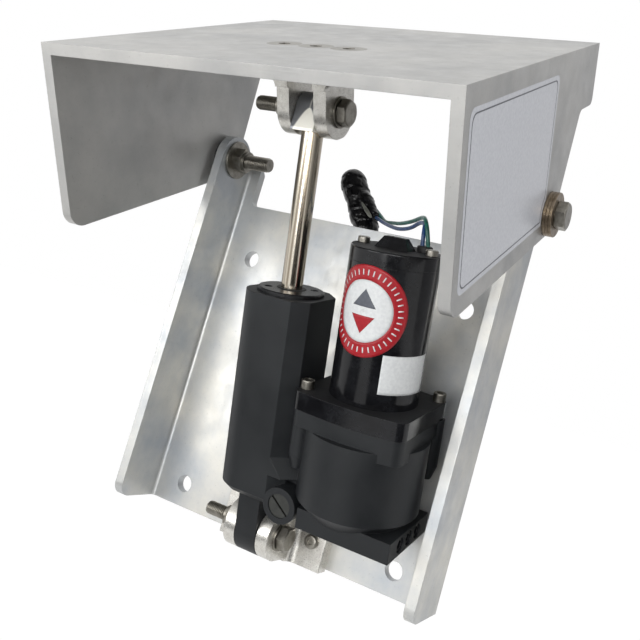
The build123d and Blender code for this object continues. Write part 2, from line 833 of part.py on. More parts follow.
with BuildPart() as port_plugs:
    for y in ports:
        seat = Plane(origin=ram_point(manifold_right - plug_depth, y, port_mid), x_dir=back_axis, z_dir=x_axis)
        disc(seat, port_plug, plug_depth - plug_recess)
        with BuildSketch(seat.offset(plug_depth - plug_recess)):
            RegularPolygon(plug_socket / 2, 6, major_radius=False)
        extrude(amount=-socket_depth, mode=Mode.SUBTRACT)
port_plugs.part.label = "port_plugs"
export_step(port_plugs.part, "parts/port_plugs.step")

# Adapter plate and the motor on it
adapter_top = adapter_low + adapter_thick
cap_foot = motor_top - cap_height
can_bore = motor_od - 2 * motor_wall
through_spots = [(motor_x - through_circle, motor_rear), (motor_x + through_circle, motor_rear)]
bush_od = shaft + 2 * bush_wall

with BuildPart() as pump_adapter:
    with BuildSketch(ram_across(adapter_low)):
        flange_outline()
    extrude(amount=adapter_thick)
    disc(ram_across(adapter_top, motor_x, motor_rear), can_bore - 2 * pin_fit, spigot_height)
    with BuildSketch(ram_across(adapter_top)):
        with Locations(*screw_spots):
            Circle(flange_screw / 2 + pin_fit)
    extrude(amount=-adapter_thick, mode=Mode.SUBTRACT)
    with BuildSketch(ram_across(adapter_top + spigot_height)):
        with Locations(*through_spots):
            Circle(through_screw / 2 + pin_fit)
    extrude(amount=-spigot_height - through_bite, mode=Mode.SUBTRACT)
    disc(ram_across(adapter_low, motor_x, motor_rear), shaft + 2 * shaft_gap, adapter_thick, mode=Mode.SUBTRACT)
    lower_bush = ram_across(adapter_top + spigot_height - bush_length, motor_x, motor_rear)
    disc(lower_bush, bush_od + 2 * pin_fit, bush_length, mode=Mode.SUBTRACT)
pump_adapter.part.label = "pump_adapter"
export_step(pump_adapter.part, "parts/pump_adapter.step")

with BuildPart() as adapter_screws:
    for x, y in screw_spots:
        top = ram_across(adapter_top, x, y)
        disc(top, flange_head, flange_screw)
        fillet(edges(Select.LAST).filter_by(GeomType.CIRCLE).sort_by(Axis(lower_pin, up_axis))[-1], head_round)
        disc(top, flange_screw, screw_tip - adapter_thick - screw_bite)
        with BuildSketch(top.offset(flange_screw)):
            RegularPolygon(flange_socket / 2, 6, major_radius=False)
        extrude(amount=-flange_screw / 2, mode=Mode.SUBTRACT)
adapter_screws.part.label = "adapter_screws"
export_step(adapter_screws.part, "parts/adapter_screws.step")

with BuildPart() as motor_can:
    disc(ram_across(adapter_top, motor_x, motor_rear), motor_od, cap_foot - adapter_top, can_bore)
motor_can.part.label = "motor_can"
export_step(motor_can.part, "parts/motor_can.step")

with BuildPart() as motor_end_cap:
    disc(ram_across(cap_foot, motor_x, motor_rear), motor_od, cap_height)
    rim = edges().filter_by(GeomType.CIRCLE).group_by(Axis(lower_pin, up_axis))[-1]
    fillet(rim, cap_round)
    disc(ram_across(cap_foot, motor_x, motor_rear), can_bore - 2 * pin_fit, -spigot_height)
    with BuildSketch(ram_across(motor_top, motor_x, motor_rear - boss_shift)):
        Rectangle(boss_wide, boss_deep)
    with BuildSketch(ram_across(motor_top + boss_height, motor_x, motor_rear - boss_shift)):
        Rectangle(boss_narrow, boss_deep - boss_wide + boss_narrow)
    loft()
    with BuildSketch(ram_across(motor_top)):
        with Locations(*through_spots):
            Circle(through_screw / 2 + pin_fit)
    extrude(amount=-cap_height - spigot_height, mode=Mode.SUBTRACT)
    upper_bush = ram_across(cap_foot - spigot_height, motor_x, motor_rear)
    disc(upper_bush, bush_od + 2 * pin_fit, bush_length, mode=Mode.SUBTRACT)
motor_end_cap.part.label = "motor_end_cap"
export_step(motor_end_cap.part, "parts/motor_end_cap.step")

with BuildPart() as motor_through_screws:
    for x, y in through_spots:
        top = ram_across(motor_top, x, y)
        disc(top, through_head, through_head_height)
        fillet(edges(Select.LAST).filter_by(GeomType.CIRCLE).sort_by(Axis(lower_pin, up_axis))[-1], head_round)
        disc(top, through_screw, screw_tip + adapter_top - motor_top - through_bite)
        with BuildSketch(top.offset(through_head_height)):
            Rectangle(through_head, release_slot, rotation=through_turn)
        extrude(amount=-release_slot, mode=Mode.SUBTRACT)
motor_through_screws.part.label = "motor_through_screws"
export_step(motor_through_screws.part, "parts/motor_through_screws.step")

with BuildPart() as shaft_bushes:
    disc(lower_bush, bush_od, bush_length, shaft + 2 * pin_fit)
    disc(upper_bush, bush_od, bush_length, shaft + 2 * pin_fit)
shaft_bushes.part.label = "shaft_bushes"
export_step(shaft_bushes.part, "parts/shaft_bushes.step")

# Inside the motor: magnets, armature, commutator and brushes
core_radius = can_bore / 2 - magnet_thick - air_gap

with BuildPart() as field_magnets:
    with BuildSketch(ram_across(core_low, motor_x, motor_rear)):
        Circle(can_bore / 2 - pin_fit)
        Circle(can_bore / 2 - magnet_thick, mode=Mode.SUBTRACT)
        Rectangle(can_bore, 2 * magnet_gap, mode=Mode.SUBTRACT)
    extrude(amount=core_high - core_low)
field_magnets.part.label = "field_magnets"
export_step(field_magnets.part, "parts/field_magnets.step")

shaft_foot = adapter_low - pump_height
shaft_tip = cap_foot - spigot_height + bush_length

with BuildPart() as armature_shaft:
    disc(ram_across(shaft_foot, motor_x, motor_rear), shaft, shaft_tip - shaft_foot)
armature_shaft.part.label = "armature_shaft"
export_step(armature_shaft.part, "parts/armature_shaft.step")

with BuildPart() as armature_core:
    with BuildSketch(ram_across(core_low, motor_x, motor_rear)):
        Circle(core_radius)
        with PolarLocations(core_radius - core_slot, core_slots):
            Circle(core_slot / 2, mode=Mode.SUBTRACT)
            Rectangle(2 * core_slot, core_slot / 2, align=(Align.MIN, Align.CENTER), mode=Mode.SUBTRACT)
        Circle(shaft / 2 + pin_fit, mode=Mode.SUBTRACT)
    extrude(amount=core_high - core_low)
armature_core.part.label = "armature_core"
export_step(armature_core.part, "parts/armature_core.step")

with BuildPart() as commutator_drum:
    drum = ram_across(core_high, motor_x, motor_rear)
    disc(drum, commutator, commutator_high - core_high, shaft + 2 * pin_fit)
commutator_drum.part.label = "commutator"
export_step(commutator_drum.part, "parts/commutator.step")

with BuildPart() as brush_plate:
    plate_foot = ram_across(commutator_high - brush_plate_thick, motor_x, motor_rear)
    disc(plate_foot, can_bore - 2 * pin_fit, brush_plate_thick, commutator + 2 * air_gap)
    with BuildSketch(plate_foot):
        with Locations((-through_circle, 0), (through_circle, 0)):
            Circle(through_screw / 2 + air_gap)
    extrude(amount=brush_plate_thick, mode=Mode.SUBTRACT)
brush_plate.part.label = "brush_plate"
export_step(brush_plate.part, "parts/brush_plate.step")

with BuildPart() as brushes:
    with BuildSketch(plate_foot):
        for side in (-1, 1):
            with Locations((0, side * (commutator / 2 + running_gap + brush_long / 2))):
                Rectangle(brush_wide, brush_long)
        Circle(commutator / 2 + running_gap, mode=Mode.SUBTRACT)
    extrude(amount=-brush_tall)
brushes.part.label = "brushes"
export_step(brushes.part, "parts/brushes.step")

# Gear pump, hung under the adapter in the oil
pitch_radius = gear_teeth * gear_module / 2
base_radius = pitch_radius * cos(radians(pressure_angle))
tip_radius = pitch_radius + gear_addendum * gear_module
root_radius = pitch_radius - gear_dedendum * gear_module
gear_gap = 2 * pitch_radius
gear_foot = shaft_foot + pump_cover
pump_high = pump_height - pump_cover


def flank_angle(radius):
    """Half the angle that a tooth fills at a radius, on an involute flank."""
    at_pitch = radians(pressure_angle)
    here = acos(min(1.0, base_radius / radius))
    half = pi / (2 * gear_teeth) - gear_backlash / (4 * pitch_radius)
    return half + tan(at_pitch) - at_pitch - tan(here) + here


def gear_outline(turn):
    """One closed outline of straight-rooted involute teeth."""
    radii = [root_radius, base_radius, (base_radius + pitch_radius) / 2, pitch_radius, tip_radius]
    points = []
    for i in range(gear_teeth):
        middle = turn + 2 * pi * i / gear_teeth
        rise = [(r, middle - flank_angle(max(r, base_radius))) for r in radii]
        fall = [(r, middle + flank_angle(max(r, base_radius))) for r in reversed(radii)]
        points += [(r * cos(a), r * sin(a)) for r, a in rise + fall]
    with BuildLine() as outline:
        Polyline(*points, close=True)
    make_face(outline.edges())


with BuildPart() as pump_body:
    disc(ram_across(gear_foot, motor_x, motor_rear), 2 * pump_radius, pump_high, shaft + 2 * shaft_gap)
    with BuildSketch(ram_across(gear_foot, motor_x, motor_rear)):
        with Locations((0, 0), (gear_gap, 0)):
            Circle(tip_radius + gear_clear)
        Rectangle(gear_gap, gear_module, align=(Align.MIN, Align.CENTER))
    extrude(amount=gear_width + 2 * running_gap, mode=Mode.SUBTRACT)
    idler_seat = ram_across(gear_foot + gear_width, motor_x + gear_gap, motor_rear)
    disc(idler_seat, idler_shaft + 2 * pin_fit, idler_end + idler_float, mode=Mode.SUBTRACT)
pump_body.part.label = "pump_body"
export_step(pump_body.part, "parts/pump_body.step")

with BuildPart() as pump_end_plate:
    disc(ram_across(shaft_foot, motor_x, motor_rear), 2 * pump_radius, pump_cover, shaft + 2 * pin_fit)
    idler_foot = ram_across(gear_foot, motor_x + gear_gap, motor_rear)
    disc(idler_foot, idler_shaft + 2 * pin_fit, -idler_end - idler_float, mode=Mode.SUBTRACT)
pump_end_plate.part.label = "pump_end_plate"
export_step(pump_end_plate.part, "parts/pump_end_plate.step")

with BuildPart() as drive_gear:
    with BuildSketch(ram_across(gear_foot + running_gap, motor_x, motor_rear)):
        gear_outline(0)
        Circle(shaft / 2 + pin_fit, mode=Mode.SUBTRACT)
    extrude(amount=gear_width)
drive_gear.part.label = "drive_gear"
export_step(drive_gear.part, "parts/drive_gear.step")

with BuildPart() as idler_gear:
    with BuildSketch(ram_across(gear_foot + running_gap, motor_x + gear_gap, motor_rear)):
        gear_outline(pi / gear_teeth)
    extrude(amount=gear_width)
    disc(idler_foot.offset(-idler_end), idler_shaft, gear_width + 2 * idler_end)
idler_gear.part.label = "idler_gear"
export_step(idler_gear.part, "parts/idler_gear.step")

# Leads: two wires from the cap to a taped end behind the web, which clears it through the stroke
with BuildPart() as lead_grommet:
    stem = ram_across(motor_top, grommet_x, grommet_rear)
    disc(stem, grommet, grommet_height)
    fillet(edges(Select.LAST).filter_by(GeomType.CIRCLE).sort_by(Axis(lower_pin, up_axis))[-1], grommet_round)
lead_grommet.part.label = "lead_grommet"
export_step(lead_grommet.part, "parts/lead_grommet.step")


def cord_radii(points):
    """Arcs of 0.45 of the shorter run, divided by the tangent of half the turn."""
    radii = []
    for before, here, after in zip(points, points[1:], points[2:]):
        come, go = Vector(*here) - Vector(*before), Vector(*after) - Vector(*here)
        half = radians(come.get_angle(go)) / 2
        radii.append(0.45 * min(come.length, go.length) / tan(half))
    return radii


def cord_tube(points, name):
    """A lead's tube along its route, with its arcs and its volume printed."""
    radii = cord_radii(points)
    with BuildLine() as path:
        FilletPolyline(*points, radius=radii)
    wire = path.wires()[0]
    with BuildSketch(Plane(origin=wire @ 0, z_dir=wire % 0)) as section:
        Circle(lead / 2)
    sweep(section.sketch, path=wire)
    print(name, "length", round(wire.length, 1), "radii", [round(r, 1) for r in radii])
    return wire.length


blue_route = [
    (90, -94, 129.5),
    (90, -97, 140),
    (85, -94, 149.5),
    (75, -85, 153),
    (62, -70, 148),
    (47, -53, 146),
    (33, -35, 149.5),
    (19, -17, 155),
    (6, -1, 161.5),
    (-10, 12, 168),
]
green_route = [
    (94.5, -94, 129.5),
    (94.5, -97.5, 141),
    (89, -93, 153.5),
    (77, -81, 158.5),
    (63, -66, 153.5),
    (47, -49, 151),
    (33, -31, 155),
    (19, -13, 161),
    (5, 3, 168),
    (-13, 13, 175),
]

with BuildPart() as blue_lead:
    blue_length = cord_tube(blue_route, "blue_lead")
print("blue_lead volume", round(blue_lead.part.volume), "against", round(blue_length * pi * lead**2 / 4))
blue_lead.part.label = "blue_lead"
export_step(blue_lead.part, "parts/blue_lead.step")

with BuildPart() as green_lead:
    green_length = cord_tube(green_route, "green_lead")
print("green_lead volume", round(green_lead.part.volume), "against", round(green_length * pi * lead**2 / 4))
green_lead.part.label = "green_lead"
export_step(green_lead.part, "parts/green_lead.step")

boot_foot = Vector(boot_x, boot_back, web_top + boot_lift + boot_neck)
boot_line = Vector(-boot_lean, 0, boot_rise)

with BuildPart() as lead_boot:
    stand = Plane(origin=boot_foot, x_dir=(0, 1, 0), z_dir=boot_line)
    with BuildSketch(axis_of(stand)):
        with BuildLine():
            a = (boot_neck, 0)
            b = (boot_radius, boot_line.length)
            JernArc(start=(0, -boot_neck), tangent=(1, 0), radius=boot_neck, arc_size=90)
            Spline(a, (boot_waist, boot_waist_at), b, tangents=[(0, 1), (0, 1)])
            JernArc(start=b, tangent=(0, 1), radius=boot_radius, arc_size=90)
            Line((0, boot_line.length + boot_radius), (0, -boot_neck))
        make_face()
    revolve(axis=Axis(boot_foot, boot_line))
lead_boot.part.label = "lead_boot"
export_step(lead_boot.part, "parts/lead_boot.step")

print("rest length", round(rest_length, 2), "lean", round(rest_lean, 3))
print("shut length", round(shut_length, 2), "lean", round(shut_lean, 3), "stroke", round(stroke, 3))
print("slot end", slot_end, "lower pin", lower_pin, "upper pin", upper_pin)
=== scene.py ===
import json
import math
import bpy
from mathutils import Matrix, Vector, noise


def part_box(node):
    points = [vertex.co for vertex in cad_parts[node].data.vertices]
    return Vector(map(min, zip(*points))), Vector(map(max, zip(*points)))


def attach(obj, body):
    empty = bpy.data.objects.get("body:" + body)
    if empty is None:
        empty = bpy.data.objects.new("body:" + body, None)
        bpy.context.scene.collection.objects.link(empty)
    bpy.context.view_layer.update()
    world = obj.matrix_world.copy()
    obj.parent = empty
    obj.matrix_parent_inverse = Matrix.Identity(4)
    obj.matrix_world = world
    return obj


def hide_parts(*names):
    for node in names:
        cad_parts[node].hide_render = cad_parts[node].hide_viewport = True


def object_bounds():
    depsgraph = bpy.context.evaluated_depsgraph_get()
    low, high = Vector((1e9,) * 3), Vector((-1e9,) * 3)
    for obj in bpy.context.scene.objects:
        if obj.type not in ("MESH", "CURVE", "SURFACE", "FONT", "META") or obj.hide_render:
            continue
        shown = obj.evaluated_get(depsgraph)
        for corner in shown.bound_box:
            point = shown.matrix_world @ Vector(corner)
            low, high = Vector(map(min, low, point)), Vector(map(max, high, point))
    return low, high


# Metres in the CAD frame: +X starboard, +Y to the boat, +Z up.
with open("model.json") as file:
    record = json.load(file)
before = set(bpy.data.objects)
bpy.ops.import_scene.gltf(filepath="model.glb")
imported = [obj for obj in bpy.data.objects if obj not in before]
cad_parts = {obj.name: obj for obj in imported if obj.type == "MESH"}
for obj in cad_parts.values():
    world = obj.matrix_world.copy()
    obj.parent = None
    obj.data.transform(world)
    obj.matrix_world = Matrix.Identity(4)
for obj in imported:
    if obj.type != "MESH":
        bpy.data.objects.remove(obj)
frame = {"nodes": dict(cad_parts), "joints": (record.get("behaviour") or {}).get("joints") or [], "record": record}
nodes = frame["nodes"]
cad_low, cad_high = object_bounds()
joints = {joint["name"]: joint for joint in frame["joints"]}
mounts = {mount["name"]: mount for mount in frame["record"]["mounts"]}
MM = 0.001

# The ram's own axes, and the motor's foot on the adapter
x_axis = Vector((1, 0, 0))
up_axis = Vector(joints["ram_slide"]["axis"])
back_axis = Vector((0, up_axis.z, -up_axis.y))
motor_foot = Vector(joints["armature_spin"]["pos_m"])

# The foot of the rod's eye, below its pin and just above the bare rod
EYE_DROP = 16.0 * MM
eye_foot = Vector(joints["upper_pivot"]["pos_m"]) - up_axis * EYE_DROP

# The tilting bracket's axes at rest
hinge = Vector(joints["tilt_hinge"]["pos_m"])
top_normal = Vector(mounts["motor_face"]["axis"])
top_along = Vector((0, top_normal.z, -top_normal.y))

# Angles about X between the frame and the tilting bracket, and between the frame and the ram
TILT = math.atan2(top_along.z, top_along.y)
LEAN = math.atan2(-up_axis.y, up_axis.z)

# Camera, fitted to the photograph, which is 640 pixels square
PHOTO = 640
FOCAL_PIXELS = 784.6
OPTICAL_CENTRE = (357.6, 284.2)
CAMERA_PLACE = Vector((0.2992, -0.5885, 0.0460))
CAMERA_RIGHT = Vector((0.86913, 0.41152, 0.27434))
CAMERA_DOWN = Vector((0.2083, 0.19853, -0.9577))
CAMERA_FORWARD = Vector((-0.44858, 0.88951, 0.08683))
SENSOR = 36.0


def make_camera():
    data = bpy.data.cameras.new("camera")
    data.sensor_width = SENSOR
    data.lens = FOCAL_PIXELS / PHOTO * SENSOR
    data.shift_x = 0.5 - OPTICAL_CENTRE[0] / PHOTO
    data.shift_y = OPTICAL_CENTRE[1] / PHOTO - 0.5
    camera = bpy.data.objects.new("camera", data)
    turn = Matrix((CAMERA_RIGHT, -CAMERA_DOWN, -CAMERA_FORWARD)).transposed()
    camera.matrix_world = Matrix.Translation(CAMERA_PLACE) @ turn.to_4x4()
    bpy.context.scene.collection.objects.link(camera)
    bpy.context.scene.camera = camera


make_camera()

# Node helpers
BEVEL_SAMPLES = 4


def linear(colour):
    """A colour written as #rrggbb, in the renderer's linear numbers."""
    parts = [int(colour[i : i + 2], 16) / 255 for i in (1, 3, 5)]
    return [p / 12.92 if p <= 0.04045 else ((p + 0.055) / 1.055) ** 2.4 for p in parts] + [1.0]


def new_material(name, colour, metallic, roughness):
    material = bpy.data.materials.new(name)
    material.use_nodes = True
    tree = material.node_tree
    shader = tree.nodes["Principled BSDF"]
    shader.inputs["Base Color"].default_value = linear(colour)
    shader.inputs["Metallic"].default_value = metallic
    shader.inputs["Roughness"].default_value = roughness
    return material, tree, shader


def place(tree, scale=(1, 1, 1), turn=(0, 0, 0)):
    """Object coordinates, turned and then stretched by a scale for each axis."""
    source = tree.nodes.new("ShaderNodeTexCoord").outputs["Object"]
    spin = tree.nodes.new("ShaderNodeMapping")
    spin.inputs["Rotation"].default_value = turn
    stretch = tree.nodes.new("ShaderNodeMapping")
    stretch.inputs["Scale"].default_value = scale
    tree.links.new(source, spin.inputs["Vector"])
    tree.links.new(spin.outputs["Vector"], stretch.inputs["Vector"])
    return stretch.outputs["Vector"]


def cloud(tree, vector, scale, detail, rough):
    """Noise from 0 to 1, finer as its scale grows."""
    made = tree.nodes.new("ShaderNodeTexNoise")
    made.inputs["Scale"].default_value = scale
    made.inputs["Detail"].default_value = detail
    made.inputs["Roughness"].default_value = rough
    tree.links.new(vector, made.inputs["Vector"])
    return made.outputs["Fac"]


def spread(tree, value, low, high, first, last):
    """Maps low..high of a value to first..last, held at the ends."""
    made = tree.nodes.new("ShaderNodeMapRange")
    sockets = ("From Min", "From Max", "To Min", "To Max")
    for name, number in zip(sockets, (low, high, first, last)):
        made.inputs[name].default_value = number
    tree.links.new(value, made.inputs["Value"])
    return made.outputs["Result"]


def combine(tree, operation, first, second):
    """The result of one operation on two values, each a socket or a number."""
    made = tree.nodes.new("ShaderNodeMath")
    made.operation = operation
    for socket, value in zip(made.inputs, (first, second)):
        if isinstance(value, (int, float)):
            socket.default_value = value
        else:
            tree.links.new(value, socket)
    return made.outputs["Value"]


def share_of(tree, vector, axis):
    """How much of a vector lies along an axis."""
    made = tree.nodes.new("ShaderNodeVectorMath")
    made.operation = "DOT_PRODUCT"
    made.inputs[1].default_value = axis
    tree.links.new(vector, made.inputs[0])
    return made.outputs["Value"]


def measure(tree, axis, origin):
    """How far a point of the surface lies from an origin along an axis, in metres."""
    source = tree.nodes.new("ShaderNodeTexCoord").outputs["Object"]
    shift = tree.nodes.new("ShaderNodeVectorMath")
    shift.operation = "SUBTRACT"
    shift.inputs[1].default_value = origin
    tree.links.new(source, shift.inputs[0])
    return share_of(tree, shift.outputs[0], axis)


def blend_colour(tree, factor, first, second):
    """A mix of two colours, each written as #rrggbb or given as a socket."""
    made = tree.nodes.new("ShaderNodeMix")
    made.data_type = "RGBA"
    tree.links.new(factor, made.inputs["Factor"])
    for socket, value in ((made.inputs[6], first), (made.inputs[7], second)):
        if isinstance(value, str):
            socket.default_value = linear(value)
        else:
            tree.links.new(value, socket)
    return made.outputs[2]


def tint(tree, shader, value, low, high, first, second):
    """A base colour that goes from the first to the second as a value goes from low to high."""
    share = spread(tree, value, low, high, 0, 1)
    tree.links.new(blend_colour(tree, share, first, second), shader.inputs["Base Color"])


def roughen(tree, shader, value, low, high, first, last):
    """A roughness that goes from the first to the last as a value goes from low to high."""
    tree.links.new(spread(tree, value, low, high, first, last), shader.inputs["Roughness"])


def soft_edge(tree, radius):
    """The surface normal, rounded over the edges by a small radius."""
    made = tree.nodes.new("ShaderNodeBevel")
    made.samples = BEVEL_SAMPLES
    made.inputs["Radius"].default_value = radius
    return made.outputs["Normal"]


def relief(tree, shader, height, distance, normal=None):
    made = tree.nodes.new("ShaderNodeBump")
    made.inputs["Distance"].default_value = distance
    tree.links.new(height, made.inputs["Height"])
    if normal is not None:
        tree.links.new(normal, made.inputs["Normal"])
    tree.links.new(made.outputs["Normal"], shader.inputs["Normal"])


# Materials
ALONG_RAM = (-LEAN, 0, 0)
ALONG_TOP = (-TILT, 0, 0)
SPECK_GREY = "#6f6e6a"


def mill_aluminium(name, light, dark, turn, grain, metallic):
    """Rolled plate: cloudy patches, fine grain along the rolling direction, specks and scuffs."""
    material, tree, shader = new_material(name, light, metallic, 0.42)
    plain = place(tree, turn=turn)
    drawn = place(tree, grain, turn)
    patches = cloud(tree, plain, scale=16, detail=5, rough=0.6)
    smudges = cloud(tree, plain, scale=60, detail=6, rough=0.65)
    lines = cloud(tree, drawn, scale=900, detail=3, rough=0.6)
    scuffs = cloud(tree, drawn, scale=160, detail=5, rough=0.7)
    specks = cloud(tree, plain, scale=420, detail=4, rough=0.7)
    tone = blend_colour(tree, spread(tree, patches, 0.35, 0.65, 0, 1), light, dark)
    worn = combine(tree, "MULTIPLY", spread(tree, scuffs, 0.66, 0.74, 0, 0.5), smudges)
    tone = blend_colour(tree, worn, tone, dark)
    tone = blend_colour(tree, spread(tree, specks, 0.62, 0.72, 0, 0.3), tone, SPECK_GREY)
    tree.links.new(tone, shader.inputs["Base Color"])
    smeared = spread(tree, smudges, 0.3, 0.7, 0.32, 0.50)
    combed = spread(tree, lines, 0.3, 0.7, -0.05, 0.05)
    tree.links.new(combine(tree, "ADD", smeared, combed), shader.inputs["Roughness"])
    bumps = combine(tree, "ADD", lines, combine(tree, "MULTIPLY", smudges, 1.5))
    relief(tree, shader, bumps, 0.04 * MM, soft_edge(tree, 0.5 * MM))
    return material


def turned_metal(name, light, dark, roughness, metallic=1.0, edge=0.3, grain=(1, 1, 1)):
    """Machined steel or aluminium with fine tool marks and slight stains."""
    material, tree, shader = new_material(name, light, metallic, roughness)
    marks = cloud(tree, place(tree, grain), scale=1400, detail=2, rough=0.5)
    stains = cloud(tree, place(tree), scale=220, detail=4, rough=0.6)
    tint(tree, shader, stains, 0.35, 0.7, light, dark)
    roughen(tree, shader, marks, 0.25, 0.75, roughness - 0.07, roughness + 0.09)
    bumps = combine(tree, "ADD", marks, stains)
    relief(tree, shader, bumps, 0.02 * MM, soft_edge(tree, edge * MM))
    return material


def cast_black():
    """Satin paint over a casting, with a fine orange-peel and dusty patches."""
    material, tree, shader = new_material("cast_black", "#1d1f21", 0.0, 0.5)
    plain = place(tree)
    grit = cloud(tree, plain, scale=1100, detail=3, rough=0.6)
    dust = cloud(tree, plain, scale=26, detail=4, rough=0.6)
    tint(tree, shader, dust, 0.35, 0.7, "#1b1d1f", "#222426")
    roughen(tree, shader, dust, 0.3, 0.7, 0.42, 0.55)
    shader.inputs["Specular IOR Level"].default_value = 0.28
    relief(tree, shader, grit, 0.05 * MM, soft_edge(tree, 0.8 * MM))
    return material


def gloss_black(name, roughness):
    """Wet black paint with a faint peel and fingermarks, dull where dust lies on its top."""
    material, tree, shader = new_material(name, "#121214", 0.0, roughness)
    plain = place(tree)
    peel = cloud(tree, plain, scale=420, detail=2, rough=0.4)
    marks = cloud(tree, plain, scale=70, detail=5, rough=0.7)
    tint(tree, shader, marks, 0.4, 0.75, "#101012", "#1d1e21")
    normal = tree.nodes.new("ShaderNodeNewGeometry").outputs["Normal"]
    dusty = spread(tree, share_of(tree, normal, up_axis), 0.8, 0.97, 0, 0.5)
    marked = spread(tree, marks, 0.35, 0.7, roughness, roughness + 0.14)
    tree.links.new(combine(tree, "ADD", marked, dusty), shader.inputs["Roughness"])
    shader.inputs["Specular IOR Level"].default_value = 0.3
    relief(tree, shader, peel, 0.03 * MM, soft_edge(tree, 0.6 * MM))
    return material


def chrome_rod():
    """Hard chrome with polishing lines and faint brown streaks along the stroke."""
    material, tree, shader = new_material("chrome_rod", "#b9b0a2", 1.0, 0.1)
    drawn = place(tree, (1, 1, 0.004), ALONG_RAM)
    lines = cloud(tree, drawn, scale=1300, detail=2, rough=0.5)
    streaks = cloud(tree, drawn, scale=420, detail=2, rough=0.4)
    tint(tree, shader, streaks, 0.38, 0.62, "#c6beb0", "#8f8473")
    roughen(tree, shader, lines, 0.3, 0.7, 0.1, 0.2)
    relief(tree, shader, lines, 0.002 * MM)
    return material


# The front of the rod's eye, whose near white is partly its ground finish and partly a painted highlight, measured
# from the eye's foot:
# it narrows from one height to the other, and its edge is a little soft
FRONT_LOW = -7 * MM
FRONT_HIGH = 16 * MM
FRONT_HALF_WIDTH = 12.1 * MM
FRONT_CURVE = 0.64
FRONT_MIDDLE = 2.4 * MM
FRONT_EDGE = (-0.6 * MM, 0.8 * MM)


def forged_eye_painted_light():
    """A front painted near white, partly its ground finish and partly a painted highlight, narrowing upwards
    between darker sides whose darkness is painted shade.
    """
    material, tree, shader = new_material("forged_eye_painted_light", "#efece2", 0.2, 0.4)
    grain = cloud(tree, place(tree), scale=700, detail=3, rough=0.6)
    height = measure(tree, up_axis, eye_foot)
    narrow = combine(tree, "POWER", spread(tree, height, FRONT_LOW, FRONT_HIGH, 1, 0), FRONT_CURVE)
    reach = combine(tree, "MULTIPLY", narrow, FRONT_HALF_WIDTH)
    aside = combine(tree, "ABSOLUTE", measure(tree, x_axis, eye_foot + x_axis * FRONT_MIDDLE), 0)
    edge = spread(tree, combine(tree, "SUBTRACT", aside, reach), *FRONT_EDGE, 0, 1)
    # Painted shade: the sides are painted darker, and a painted highlight makes the front near white
    painted_shade_flank = blend_colour(tree, grain, "#8a8c90", "#74767a")
    front = blend_colour(tree, grain, "#fffef4", "#fdfaee")
    tree.links.new(blend_colour(tree, edge, front, painted_shade_flank), shader.inputs["Base Color"])
    tree.links.new(spread(tree, edge, 0, 1, 0.2, 0.75), shader.inputs["Metallic"])
    relief(tree, shader, grain, 0.02 * MM, soft_edge(tree, 0.6 * MM))
    return material


def matt(name, light, dark, roughness, size=300, depth=0.03):
    """Rubber, plastic, fibre board and other plain matt finishes with a fine grain."""
    material, tree, shader = new_material(name, light, 0.0, roughness)
    grain = cloud(tree, place(tree), scale=size, detail=4, rough=0.6)
    tint(tree, shader, grain, 0.35, 0.65, light, dark)
    roughen(tree, shader, grain, 0.3, 0.7, roughness - 0.06, roughness + 0.08)
    relief(tree, shader, grain, depth * MM)
    return material


def printed(name, light, dark, roughness):
    """Glossy vinyl or paper with a faint print grain under its film."""
    material, tree, shader = new_material(name, light, 0.0, roughness)
    plain = place(tree)
    grain = cloud(tree, plain, scale=500, detail=3, rough=0.5)
    wave = cloud(tree, plain, scale=30, detail=2, rough=0.5)
    tint(tree, shader, grain, 0.35, 0.65, light, dark)
    shader.inputs["Specular IOR Level"].default_value = 0.3
    relief(tree, shader, wave, 0.12 * MM)
    return material


def taped():
    """Stretched vinyl tape: glossy, with fine wrinkles that follow the wrap."""
    material, tree, shader = new_material("tape", "#08080a", 0.0, 0.16)
    folds = cloud(tree, place(tree, (1, 1, 1.6)), scale=150, detail=3, rough=0.5)
    tint(tree, shader, folds, 0.4, 0.7, "#060608", "#101013")
    roughen(tree, shader, folds, 0.3, 0.7, 0.1, 0.24)
    shader.inputs["Specular IOR Level"].default_value = 0.25
    relief(tree, shader, folds, 0.5 * MM)
    return material


